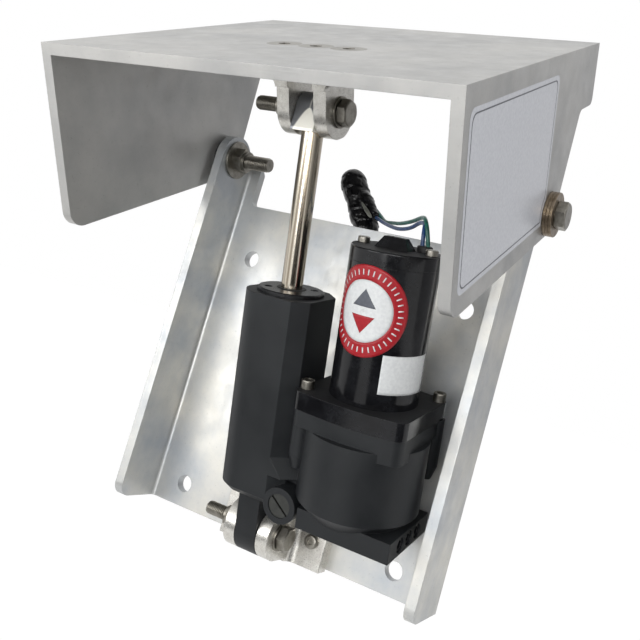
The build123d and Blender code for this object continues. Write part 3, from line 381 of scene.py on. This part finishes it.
finishes = {
    "fixed_plate": mill_aluminium(
        "fixed_plate", "#cfcdc6", "#aeb2b6", turn=(0, 0, 0), grain=(1, 1, 0.03), metallic=0.56
    ),
    "tilting_plate": mill_aluminium(
        "tilting_plate", "#bcbbb8", "#a9a9a8", turn=ALONG_TOP, grain=(0.03, 1, 1), metallic=0.72
    ),
    "machined": turned_metal("machined", "#d8d6d0", "#c2bfb8", 0.3, 0.8, 0.5),
    "stainless": turned_metal("stainless", "#98958d", "#77736c", 0.36),
    "washer_bronze": turned_metal("washer_bronze", "#8d8070", "#6a5c49", 0.36, 0.9, 0.25),
    "forged_eye_painted_light": forged_eye_painted_light(),
    "anodised": turned_metal("anodised", "#1d1e20", "#121315", 0.3, 0.3, 0.4),
    "valve_steel": turned_metal("valve_steel", "#3a3b38", "#2c2d2b", 0.45, 0.3, 0.3),
    "pump_iron": turned_metal("pump_iron", "#8b8b8b", "#6d6d6d", 0.4, 0.9),
    "core_steel": turned_metal("core_steel", "#96928e", "#75726e", 0.4, 0.9, 0.2, (1, 1, 3)),
    "copper": turned_metal("copper", "#c98d63", "#9c6643", 0.3),
    "cast_black": cast_black(),
    "gloss_black": gloss_black("gloss_black", 0.14),
    "motor_black": gloss_black("motor_black", 0.1),
    "chrome": chrome_rod(),
    "spacer_black": matt("spacer_black", "#26262a", "#1a1a1d", 0.45),
    "rubber": matt("rubber", "#191919", "#242424", 0.6),
    "magnet": matt("magnet", "#4a4a4d", "#38383a", 0.65),
    "board": matt("board", "#8a6a3c", "#755a33", 0.6),
    "carbon": matt("carbon", "#2b2b2b", "#1e1e1e", 0.55),
    "lead_blue": matt("lead_blue", "#163f74", "#12335c", 0.35, size=260, depth=0.02),
    "lead_green": matt("lead_green", "#1c6156", "#154b42", 0.35, size=260, depth=0.02),
    "tape": taped(),
    # Painted reflection: the grey of the strip over the blue lead stands in for the sheen on a fold of black tape
    "painted_sheen_grey": matt("painted_sheen_grey", "#6f7068", "#53544e", 0.25, size=200, depth=0.05),
    "sheet_white": printed("sheet_white", "#d2d4d4", "#c8cacb", 0.3),
    "sheet_silver": printed("sheet_silver", "#dadce2", "#d1d3da", 0.22),
    "print_red": printed("print_red", "#a01f27", "#931c24", 0.28),
    "print_grey": printed("print_grey", "#5b5e66", "#54575e", 0.3),
}

finish_of = {
    "transom_bracket": "fixed_plate",
    "motor_bracket": "tilting_plate",
    "upper_clevis": "machined",
    "lower_clevis": "machined",
    "hinge_bolts": "stainless",
    "hinge_outer_washers": "washer_bronze",
    "hinge_spacers": "spacer_black",
    "hinge_inner_washers": "stainless",
    "hinge_nuts": "stainless",
    "lower_clevis_screws": "stainless",
    "lower_pin_bolt": "stainless",
    "lower_pin_washers": "stainless",
    "lower_pin_nut": "stainless",
    "clevis_flat_screws": "stainless",
    "upper_pin_bolt": "stainless",
    "upper_pin_washers": "stainless",
    "upper_pin_nut": "stainless",
    "piston_rod": "chrome",
    "rod_eye": "forged_eye_painted_light",
    "piston": "machined",
    "piston_seal": "rubber",
    "cylinder_body": "cast_black",
    "gland_nut": "anodised",
    "gland_seal": "rubber",
    "wiper_seal": "rubber",
    "port_plugs": "gloss_black",
    "pump_adapter": "gloss_black",
    "adapter_screws": "stainless",
    "motor_can": "motor_black",
    "motor_end_cap": "motor_black",
    "motor_through_screws": "stainless",
    "shaft_bushes": "copper",
    "field_magnets": "magnet",
    "brush_plate": "board",
    "brushes": "carbon",
    "pump_body": "pump_iron",
    "pump_end_plate": "pump_iron",
    "lead_grommet": "rubber",
    "blue_lead": "lead_blue",
    "green_lead": "lead_green",
    "lead_boot": "tape",
    "release_valve": "valve_steel",
    "armature_shaft": "core_steel",
    "armature_core": "core_steel",
    "commutator": "copper",
    "drive_gear": "pump_iron",
    "idler_gear": "pump_iron",
}
for name, finish in finish_of.items():
    nodes[name].data.materials.clear()
    nodes[name].data.materials.append(finishes[finish])

# Mesh helpers
SHARP_EDGE = math.radians(35)
BOLT_SHARP_EDGE = math.radians(28)
TAPE_SHARP_EDGE = math.radians(50)
SHEEN_SHARP_EDGE = math.radians(60)


def add_mesh(name, points, faces, finish, sharp=SHARP_EDGE):
    data = bpy.data.meshes.new(name)
    data.from_pydata(points, [], faces)
    data.validate()
    data.shade_smooth()
    data.set_sharp_from_angle(angle=sharp)
    data.materials.append(finishes[finish])
    made = bpy.data.objects.new(name, data)
    bpy.context.scene.collection.objects.link(made)
    return made


def ring_skin(rings):
    """Points and faces of a skin over rings of equal length, with flat ends."""
    count = len(rings[0])
    points = [point for ring in rings for point in ring]
    faces = []
    for i in range(len(rings) - 1):
        for j in range(count):
            k = (j + 1) % count
            faces.append((i * count + j, i * count + k, (i + 1) * count + k, (i + 1) * count + j))
    faces.append(tuple(reversed(range(count))))
    faces.append(tuple(range(len(points) - count, len(points))))
    return points, faces


def grid_faces(rows, columns):
    """Faces of a grid whose points run along each row in turn."""
    faces = []
    for i in range(rows):
        for j in range(columns):
            start = i * (columns + 1) + j
            faces.append((start, start + 1, start + columns + 2, start + columns + 1))
    return faces


# Threaded bolts: the steps round one and along one pitch of its thread
TURN_STEPS = 72
STEPS_PER_PITCH = 6
# The thread: its depth as a share of the pitch, the slope of its flanks, how it runs out towards
# the tip, and how far the tip tapers as a share of the depth
THREAD_DEPTH = 0.55
THREAD_SLOPE = 1.25
THREAD_RUN_OUT = 0.6
THREAD_LEFT_AT_TIP = 0.25
TIP_TAPER = 0.7
# The head: its round face as a share of the flats, the shallow dish in that, where the chamfer's
# rings lie as shares of the height, how fast it widens, and the collar under the hexagon
FACE_RADIUS = 0.47
FACE_DISH = 0.86
CHAMFER_DROPS = (0.03, 0.06, 0.1, 0.14)
CHAMFER_SPREAD = 1.9
COLLAR_HEIGHT = 0.06

HINGE_BOLT_TIP = 95.56 * MM
HINGE_BOLT = {
    "radius": 6.35 * MM,
    "flats": 19 * MM,
    "head": 8 * MM,
    "plain": 28 * MM,
    "pitch": 1.95 * MM,
}
CLEVIS_PIN = {
    "radius": 5.3 * MM,
    "flats": 17 * MM,
    "head": 7 * MM,
    "plain": 40 * MM,
    "pitch": 1.5 * MM,
}


def bolt_rings(seat, axis, radius, flats, head, plain, length, pitch):
    """Rings of a hex bolt from the head's face to the tip: axis points from seat to head."""
    side = x_axis.cross(axis)
    side = Vector((0, 1, 0)) if side.length < 0.5 else side.normalized()
    other = axis.cross(side)
    depth = THREAD_DEPTH * pitch
    face = FACE_RADIUS * flats

    def ring(height, size):
        made = []
        for j in range(TURN_STEPS):
            angle = 2 * math.pi * j / TURN_STEPS
            outward = side * math.cos(angle) + other * math.sin(angle)
            made.append(seat + axis * height + outward * size(angle))
        return made

    def hexagon(angle):
        sixth = math.pi / 3
        return flats / 2 / math.cos((angle % sixth) - sixth / 2)

    rings = [ring(head, lambda angle: FACE_DISH * face), ring(head, lambda angle: face)]
    for drop in CHAMFER_DROPS:
        reach = face + drop * head * CHAMFER_SPREAD
        rings.append(ring(head * (1 - drop), lambda angle, r=reach: min(r, hexagon(angle))))
    rings.append(ring(COLLAR_HEIGHT * head, hexagon))
    rings.append(ring(COLLAR_HEIGHT * head, lambda angle: face))
    rings.append(ring(0, lambda angle: face))
    rings.append(ring(0, lambda angle: radius))
    rings.append(ring(-plain, lambda angle: radius))
    threads = length - plain
    steps = int(threads / pitch * STEPS_PER_PITCH)
    for i in range(1, steps + 1):
        height = threads * i / steps
        left = threads - height
        run_out = left / (THREAD_RUN_OUT * pitch) + THREAD_LEFT_AT_TIP
        fade = min(1.0, height / pitch, run_out)
        taper = max(0.0, 1 - left / pitch) * TIP_TAPER * depth

        def threaded(angle, h=height, f=fade, t=taper):
            phase = (h / pitch + angle / (2 * math.pi)) % 1
            valley = min(1.0, THREAD_SLOPE * abs(2 * phase - 1))
            return radius - f * depth * (1 - valley) - t

        rings.append(ring(-plain - height, threaded))
    return rings


def threaded_bolt(name, node, body, bolts):
    """One piece for all the bolts of a CAD node, which it replaces."""
    points, faces = [], []
    for bolt in bolts:
        new_points, new_faces = ring_skin(bolt_rings(**bolt))
        start = len(points)
        points += new_points
        faces += [tuple(start + i for i in face) for face in new_faces]
    made = add_mesh(name, points, faces, "stainless", BOLT_SHARP_EDGE)
    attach(made, body)
    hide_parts(node)


def make_bolts():
    low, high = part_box("hinge_bolts")
    centre = (low + high) / 2
    seat_x = high.x - HINGE_BOLT["head"]
    length = seat_x - HINGE_BOLT_TIP
    pair = []
    for side in (-1, 1):
        seat = Vector((side * seat_x, centre.y, centre.z))
        pair.append({"seat": seat, "axis": x_axis * side, "length": length, **HINGE_BOLT})
    threaded_bolt("hinge_bolt_pair", "hinge_bolts", "transom_bracket", pair)
    for node, body in (("upper_pin_bolt", "motor_bracket"), ("lower_pin_bolt", "transom_bracket")):
        low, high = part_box(node)
        centre = (low + high) / 2
        seat_x = high.x - CLEVIS_PIN["head"]
        seat = Vector((seat_x, centre.y, centre.z))
        pin = {"seat": seat, "axis": x_axis, "length": seat_x - low.x, **CLEVIS_PIN}
        threaded_bolt(node.replace("_bolt", "_threaded"), node, body, [pin])


make_bolts()

# Leads: the routes of the CAD source in millimetres, moved by up to 6 mm to follow the
# photograph
BLUE_ROUTE = [
    (90, -94, 129.5),
    (89, -96.5, 139.8),
    (86.3, -91.4, 146.9),
    (78.2, -81.6, 149.2),
    (65.9, -67.3, 146.1),
    (49.2, -52, 146.4),
    (32.5, -35.8, 151.1),
    (17.4, -18.4, 156.3),
    (4.8, -2, 161.6),
    (-10, 11.9, 167.2),
]
GREEN_ROUTE = [
    (94.5, -94, 129.5),
    (92.9, -98.7, 139.9),
    (86.7, -94.4, 149.8),
    (78.2, -80.4, 153.2),
    (64.6, -65.4, 151.6),
    (47.7, -48.9, 151.5),
    (32.6, -30.9, 154.6),
    (17.6, -12.6, 157.5),
    (4.1, 3.5, 165.4),
    (-12.5, 13.3, 175.8),
]
LEAD = 3 * MM


def lead_wire(name, route, node, finish):
    data = bpy.data.curves.new(name, "CURVE")
    data.dimensions = "3D"
    data.bevel_depth = LEAD / 2
    data.bevel_resolution = 5
    data.resolution_u = 8
    data.use_fill_caps = True
    line = data.splines.new("NURBS")
    line.points.add(len(route) - 1)
    for point, place_mm in zip(line.points, route):
        point.co = (*(Vector(place_mm) * MM), 1)
    line.order_u = 3
    line.use_endpoint_u = True
    data.materials.append(finishes[finish])
    made = bpy.data.objects.new(name, data)
    bpy.context.scene.collection.objects.link(made)
    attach(made, "cylinder")
    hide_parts(node)
    return made


# The taped end of the leads: a thick bundle, a tail round the leads, and a grey strip that is a painted reflection
# on a fold of the black tape
BOOT_FOOT = Vector((-12.6, 15.6, 155.5)) * MM
BOOT_HEAD = Vector((-37.2, 15.6, 193.2)) * MM
BOOT_RADII = (11.4 * MM, 11.9 * MM, 11.7 * MM)
TAIL_FOOT = Vector((1.5, 1.5, 163.0)) * MM
TAIL_HEAD = Vector((-21, 11.5, 179.5)) * MM
TAIL_RADII = (3.3 * MM, 5.4 * MM, 8.0 * MM)
# Painted reflection: path and radii of the grey strip that stands in for the sheen on a fold of the black tape
SHEEN_PATH = [(-17.5, 2.6, 174.5), (-12, 0.9, 169.7), (-7, -0.2, 165.4), (-1.5, -1.2, 161.2)]
SHEEN_RADII = (0.5, 1.6, 1.9, 1.4)
SHEEN_SIDES = 24
# The tape's turns: their pitch, the step at each overlap, how much of the pitch that step takes
# to rise, and how far a turn wanders, also as a share of the pitch
TAPE_PITCH = 11 * MM
TAPE_STEP = 0.8 * MM
STEP_RISE = 0.12
TURN_WANDER = 0.18
# Its wrinkles: size and height of the swellings, and size, width and depth of the creases
WRINKLE = 11 * MM
WRINKLE_HEIGHT = 0.8 * MM
SWELLING = 1.5
CREASE = 1.7
CREASE_WIDTH = 0.16
CREASE_DEPTH = 3.2
LEAST_RADIUS = 0.2 * MM


def round_frame(axis):
    """Two directions square to an axis that doesn't lie along Y."""
    side = Vector((0, 1, 0)).cross(axis).normalized()
    return side, axis.cross(side)


def taped_skin(name, foot, head, radii, rows, columns, seed):
    """A blunt closed bundle wound with tape: each turn overlaps the last with a raised edge."""
    line = head - foot
    length = line.length
    axis = line.normalized()
    side, other = round_frame(axis)
    first, waist, last = radii
    bulge = 2 * waist - first - last
    low, high = -first, length + last
    rings = []
    for i in range(rows + 1):
        along = (low + high) / 2 - math.cos(math.pi * i / rows) * (high - low) / 2
        share = min(1.0, max(0.0, along / length))
        radius = first * (1 - share) + last * share + bulge * 2 * share * (1 - share)
        if along < 0:
            radius = math.sqrt(max(0.0, first**2 - along**2))
        elif along > length:
            radius = math.sqrt(max(0.0, last**2 - (along - length) ** 2))
        ring = []
        for j in range(columns):
            angle = 2 * math.pi * j / columns
            outward = side * math.cos(angle) + other * math.sin(angle)
            spot = (axis * along + outward * radius) / WRINKLE + Vector((seed, 0, 0))
            wander = TURN_WANDER * math.sin(angle + 1)
            wrap = (along / TAPE_PITCH + wander + angle / (2 * math.pi)) % 1
            edge = min(1.0, wrap / STEP_RISE) * (1 - wrap)
            crease = max(0.0, CREASE_WIDTH - abs(noise.noise(spot * CREASE))) * CREASE_DEPTH
            swell = (noise.noise(spot) * SWELLING - crease) * WRINKLE_HEIGHT
            grow = ((edge - 0.5) * TAPE_STEP + swell) * min(1.0, radius / first)
            point = foot + axis * along + outward * max(LEAST_RADIUS, radius + grow)
            point.y = min(point.y, cad_high.y)
            ring.append(point)
        rings.append(ring)
    points, faces = ring_skin(rings)
    made = add_mesh(name, points, faces, "tape", TAPE_SHARP_EDGE)
    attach(made, "cylinder")
    return made


def tape_boot():
    made = taped_skin("taped_bundle", BOOT_FOOT, BOOT_HEAD, BOOT_RADII, 110, 96, seed=0)
    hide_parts("lead_boot")
    return made


def tape_tail():
    made = taped_skin("taped_tail", TAIL_FOOT, TAIL_HEAD, TAIL_RADII, 60, 48, seed=5)
    return made


def painted_sheen_strip():
    """A short grey strip where the blue lead goes under the tape: its grey is a painted reflection on a fold of
    the black tape.
    """
    side, other = round_frame((Vector(SHEEN_PATH[-1]) - Vector(SHEEN_PATH[0])).normalized())
    rings = []
    for place_mm, radius in zip(SHEEN_PATH, SHEEN_RADII):
        ring = []
        for j in range(SHEEN_SIDES):
            angle = 2 * math.pi * j / SHEEN_SIDES
            outward = side * math.cos(angle) + other * math.sin(angle)
            ring.append((Vector(place_mm) + outward * radius) * MM)
        rings.append(ring)
    points, faces = ring_skin(rings)
    made = add_mesh("painted_sheen_strip", points, faces, "painted_sheen_grey", SHEEN_SHARP_EDGE)
    soft = made.modifiers.new("soft", "SUBSURF")
    soft.levels = soft.render_levels = 2
    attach(made, "cylinder")
    return made


def make_leads():
    blue = lead_wire("blue_wire", BLUE_ROUTE, "blue_lead", "lead_blue")
    green = lead_wire("green_wire", GREEN_ROUTE, "green_lead", "lead_green")
    taped_end = [tape_boot(), tape_tail(), painted_sheen_strip()]


make_leads()

# Stickers wrapped on the motor's can: heights up the ram, radii and sizes in millimetres
CAN_RADIUS = 31.75 * MM
FILM = 0.12 * MM
PRINT_LIFT = 1.7 * FILM
ADAPTER_FOOT = 115.0
STICKER_ANGLE = math.radians(-5)
STICKER_HEIGHT = 193.0
STICKER_RADIUS = 31.0
CENTRE_RADIUS = 21.0
CENTRE_DOT = 0.05
RING_STEPS = 96
ARROW_HALF_WIDTH = 9.0
ARROW_HEIGHT = 12.0
ARROW_GAP = 3.0
ARROW_ROWS = 10
ARROW_POINT = 0.995
TICKS = 40
TICK_HALF_LENGTH = 1.9
TICK_HALF_WIDTH = 0.45
LABEL_ANGLES = (math.radians(28), math.radians(97))
LABEL_HEIGHTS = (139.5, 166.5)
LABEL_ROWS = 12
LABEL_COLUMNS = 24


def on_can(angle, height, lift=FILM):
    """A point on the can: angle from its front towards starboard, height up the ram."""
    outward = x_axis * math.sin(angle) - back_axis * math.cos(angle)
    rise = up_axis * (height - ADAPTER_FOOT) * MM
    return motor_foot + rise + outward * (CAN_RADIUS + lift)


def film(name, points, faces, finish):
    """A sheet on the can with the thickness of its film."""
    made = add_mesh(name, points, faces, finish)
    thick = made.modifiers.new("film", "SOLIDIFY")
    thick.thickness = FILM / 2
    thick.offset = -1
    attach(made, "cylinder")


def can_patch(name, spots, faces, finish, lift):
    """A film bent round the can, from flat spots in millimetres round the sticker's centre."""
    points = []
    for x, y in spots:
        points.append(on_can(STICKER_ANGLE + x * MM / CAN_RADIUS, STICKER_HEIGHT + y, lift))
    film(name, points, faces, finish)


def ring_patch(name, inner, outer, finish, rows):
    spots = []
    for i in range(rows + 1):
        radius = inner + (outer - inner) * i / rows
        for j in range(RING_STEPS):
            angle = 2 * math.pi * j / RING_STEPS
            spots.append((radius * math.cos(angle), radius * math.sin(angle)))
    faces = []
    for i in range(rows):
        near, far = i * RING_STEPS, (i + 1) * RING_STEPS
        for j in range(RING_STEPS):
            k = (j + 1) % RING_STEPS
            faces.append((near + j, far + j, far + k, near + k))
    can_patch(name, spots, faces, finish, FILM)


def arrow_patch(name, up, finish):
    """A plain triangle that points up or down the can."""
    spots = []
    for i in range(ARROW_ROWS + 1):
        share = i / ARROW_ROWS
        half_width = ARROW_HALF_WIDTH * (1 - share * ARROW_POINT)
        for j in range(ARROW_ROWS + 1):
            across = 2 * j / ARROW_ROWS - 1
            spots.append((across * half_width, up * (ARROW_GAP + ARROW_HEIGHT * share)))
    faces = grid_faces(ARROW_ROWS, ARROW_ROWS)
    if up < 0:
        faces = [tuple(reversed(face)) for face in faces]
    can_patch(name, spots, faces, finish, PRINT_LIFT)


def tick_ring():
    """Short pale ticks round the red ring, in place of words."""
    middle = (CENTRE_RADIUS + STICKER_RADIUS) / 2
    spots, faces = [], []
    for step in range(TICKS):
        angle = 2 * math.pi * step / TICKS
        out_x, out_y = math.cos(angle), math.sin(angle)
        start = len(spots)
        for long, wide in ((-1, -1), (1, -1), (1, 1), (-1, 1)):
            reach = middle + long * TICK_HALF_LENGTH
            aside = wide * TICK_HALF_WIDTH
            spots.append((out_x * reach - out_y * aside, out_y * reach + out_x * aside))
        faces.append((start, start + 1, start + 2, start + 3))
    can_patch("sticker_ticks", spots, faces, "sheet_white", PRINT_LIFT)


def motor_label():
    first, last = LABEL_ANGLES
    low, high = LABEL_HEIGHTS
    points = []
    for i in range(LABEL_ROWS + 1):
        height = low + (high - low) * i / LABEL_ROWS
        for j in range(LABEL_COLUMNS + 1):
            points.append(on_can(first + (last - first) * j / LABEL_COLUMNS, height))
    film("motor_label", points, grid_faces(LABEL_ROWS, LABEL_COLUMNS), "sheet_white")


ring_patch("sticker_ring", CENTRE_RADIUS, STICKER_RADIUS, "print_red", rows=6)
ring_patch("sticker_centre", CENTRE_DOT, CENTRE_RADIUS, "sheet_white", rows=10)
tick_ring()
arrow_patch("sticker_arrow_up", 1, "print_grey")
arrow_patch("sticker_arrow_down", -1, "print_red")
motor_label()

# The sheet on the tilting bracket's starboard side, in millimetres along and square to the top
# from the hinge, with a round notch for the hinge's washers and a thin printed border
SHEET_BACK = -11.0
SHEET_FRONT = -170.0
SHEET_LOW = -4.6
SHEET_HIGH = 100.5
SHEET_CORNER = 6.0
SHEET_NOTCH = 17.5
SHEET_LIFT = 0.06 * MM
BORDER_LIFT = 1.6 * SHEET_LIFT
BORDER_INSETS = (3.0, 3.9)
ARC_STEPS = 10


def arc_points(centre, radius, start, end):
    spots = []
    for i in range(ARC_STEPS + 1):
        angle = math.radians(start + (end - start) * i / ARC_STEPS)
        spots.append((centre[0] + radius * math.cos(angle), centre[1] + radius * math.sin(angle)))
    return spots


def on_side(along, up, lift):
    """A point over the starboard side plate."""
    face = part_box("motor_bracket")[1].x
    spot = hinge + top_along * along * MM + top_normal * up * MM
    return Vector((face + lift, spot.y, spot.z))


def sheet_outline():
    r = SHEET_CORNER
    notch_low = math.degrees(math.asin(SHEET_LOW / SHEET_NOTCH))
    notch_high = math.degrees(math.acos(SHEET_BACK / SHEET_NOTCH))
    outline = arc_points((0, 0), SHEET_NOTCH, 180 - notch_low, notch_high)
    outline += arc_points((SHEET_BACK - r, SHEET_HIGH - r), r, 0, 90)
    outline += arc_points((SHEET_FRONT + r, SHEET_HIGH - r), r, 90, 180)
    outline += arc_points((SHEET_FRONT + r, SHEET_LOW + r), r, 180, 270)
    return outline


def make_sheet():
    outline = sheet_outline()
    count = len(outline)
    points = [on_side(along, up, SHEET_LIFT) for along, up in outline]
    sheet = add_mesh("side_sheet", points, [tuple(range(count))], "sheet_silver")
    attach(sheet, "motor_bracket")
    centre_along = (SHEET_BACK + SHEET_FRONT) / 2
    centre_up = (SHEET_LOW + SHEET_HIGH) / 2
    loops = []
    for inset in BORDER_INSETS:
        shrink_along = 1 - 2 * inset / (SHEET_BACK - SHEET_FRONT)
        shrink_up = 1 - 2 * inset / (SHEET_HIGH - SHEET_LOW)
        for along, up in outline:
            near_along = centre_along + (along - centre_along) * shrink_along
            near_up = centre_up + (up - centre_up) * shrink_up
            loops.append(on_side(near_along, near_up, BORDER_LIFT))
    faces = []
    for i in range(count):
        k = (i + 1) % count
        faces.append((i, k, count + k, count + i))
    border = add_mesh("side_sheet_border", loops, faces, "print_grey")
    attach(border, "motor_bracket")


make_sheet()

# Stage: a pale floor, soft lamps and grey flags that only reflections see
FLOOR_DROP = 0.12
FLOOR_REACH = 15
FLOOR_PAINT = "#f4f4f4"
FLOOR_GLOW = 1.12
FLOOR_GLOW_SHARE = 0.85
WORLD_LIGHT = 0.44
WHITE = "#ffffff"
FLOOR_HEIGHT = cad_low.z - FLOOR_DROP
CARD_LOW = FLOOR_HEIGHT + 0.004
LAMP_TARGET = (0.0, -0.1, 0.08)
# Name, place, target, size and watts
LAMPS = [
    ("key", (-0.75, -1.45, -0.05), LAMP_TARGET, 0.9, 12),
    ("low_fill", (0.5, -1.35, 0.0), LAMP_TARGET, 0.8, 10),
    ("glint", (0.06, -1.12, -0.19), (0.08, -0.14, 0.13), 0.16, 1.0),
]
# Name, centre, half sides across and up, and colour
FLAGS = [
    ("flag_back", (0.6, 1.9, 0.5), (0.81, -0.26, 0), (0, 0, 0.85), "#dedee0"),
    ("flag_starboard", (1.7, 1.1, 0.4), (0.46, -0.71, 0), (0, 0, 0.85), "#aeaeb0"),
    ("flag_low_port", (-0.26, -0.41, CARD_LOW), (0.16, 0, 0), (0, 0.21, 0), "#303236"),
    ("flag_low_starboard", (0.57, -0.66, CARD_LOW), (0.43, 0, 0), (0, 0.56, 0), "#222428"),
]


def stage_plane(name, corners, seen=True):
    """A plane of the stage, with a material that has only its output yet."""
    material = bpy.data.materials.new(name)
    material.use_nodes = True
    tree = material.node_tree
    tree.nodes.clear()
    out = tree.nodes.new("ShaderNodeOutputMaterial")
    data = bpy.data.meshes.new(name)
    data.from_pydata(corners, [], [(0, 1, 2, 3)])
    data.materials.append(material)
    made = bpy.data.objects.new(name, data)
    made.visible_camera = seen
    bpy.context.scene.collection.objects.link(made)
    return tree, out


def coloured(tree, kind, colour, strength=None):
    """A shader of one colour, and of a given strength if it shines."""
    made = tree.nodes.new(kind)
    made.inputs["Color"].default_value = linear(colour)
    if strength is not None:
        made.inputs["Strength"].default_value = strength
    return made


def mix_to(tree, out, factor, first, second):
    """Sends a mix of two shaders to the output."""
    mix = tree.nodes.new("ShaderNodeMixShader")
    tree.links.new(factor, mix.inputs["Fac"])
    tree.links.new(first.outputs[0], mix.inputs[1])
    tree.links.new(second.outputs[0], mix.inputs[2])
    tree.links.new(mix.outputs[0], out.inputs["Surface"])


def background_rays(tree):
    """1 for the rays that show the background, 0 for those that light the object."""
    rays = tree.nodes.new("ShaderNodeLightPath")
    seen = combine(tree, "ADD", rays.outputs["Is Camera Ray"], rays.outputs["Is Glossy Ray"])
    seen = combine(tree, "ADD", seen, rays.outputs["Is Transmission Ray"])
    return combine(tree, "MINIMUM", seen, 1.0)


def make_floor():
    low, far = FLOOR_HEIGHT, FLOOR_REACH
    corners = [(-far, -far, low), (far, -far, low), (far, far, low), (-far, far, low)]
    tree, out = stage_plane("floor", corners)
    paint = coloured(tree, "ShaderNodeBsdfDiffuse", FLOOR_PAINT)
    glow = coloured(tree, "ShaderNodeEmission", WHITE, FLOOR_GLOW)
    share = combine(tree, "MULTIPLY", background_rays(tree), FLOOR_GLOW_SHARE)
    mix_to(tree, out, share, paint, glow)


def make_world():
    world = bpy.data.worlds.new("studio")
    bpy.context.scene.world = world
    world.use_nodes = True
    tree = world.node_tree
    tree.nodes.clear()
    out = tree.nodes.new("ShaderNodeOutputWorld")
    light = coloured(tree, "ShaderNodeBackground", WHITE, WORLD_LIGHT)
    white = coloured(tree, "ShaderNodeBackground", WHITE, 1.0)
    mix_to(tree, out, background_rays(tree), light, white)


def soft_lamp(name, place_m, target, size, watts):
    data = bpy.data.lights.new(name, "AREA")
    data.shape = "SQUARE"
    data.size = size
    data.energy = watts
    lamp = bpy.data.objects.new(name, data)
    lamp.location = place_m
    lamp.rotation_mode = "QUATERNION"
    lamp.rotation_quaternion = (Vector(target) - Vector(place_m)).to_track_quat("-Z", "Y")
    bpy.context.scene.collection.objects.link(lamp)


def flag(name, centre, across, up, colour):
    """A card that only reflections see: it takes no light away."""
    centre, across, up = Vector(centre), Vector(across), Vector(up)
    low, high = centre - up, centre + up
    corners = [low - across, low + across, high + across, high - across]
    tree, out = stage_plane(name, corners, seen=False)
    rays = tree.nodes.new("ShaderNodeLightPath")
    clear = tree.nodes.new("ShaderNodeBsdfTransparent")
    glow = coloured(tree, "ShaderNodeEmission", colour)
    mix_to(tree, out, rays.outputs["Is Glossy Ray"], clear, glow)


make_floor()
make_world()
for lamp in LAMPS:
    soft_lamp(*lamp)
for card in FLAGS:
    flag(*card)

bpy.context.scene.view_settings.view_transform = "Standard"
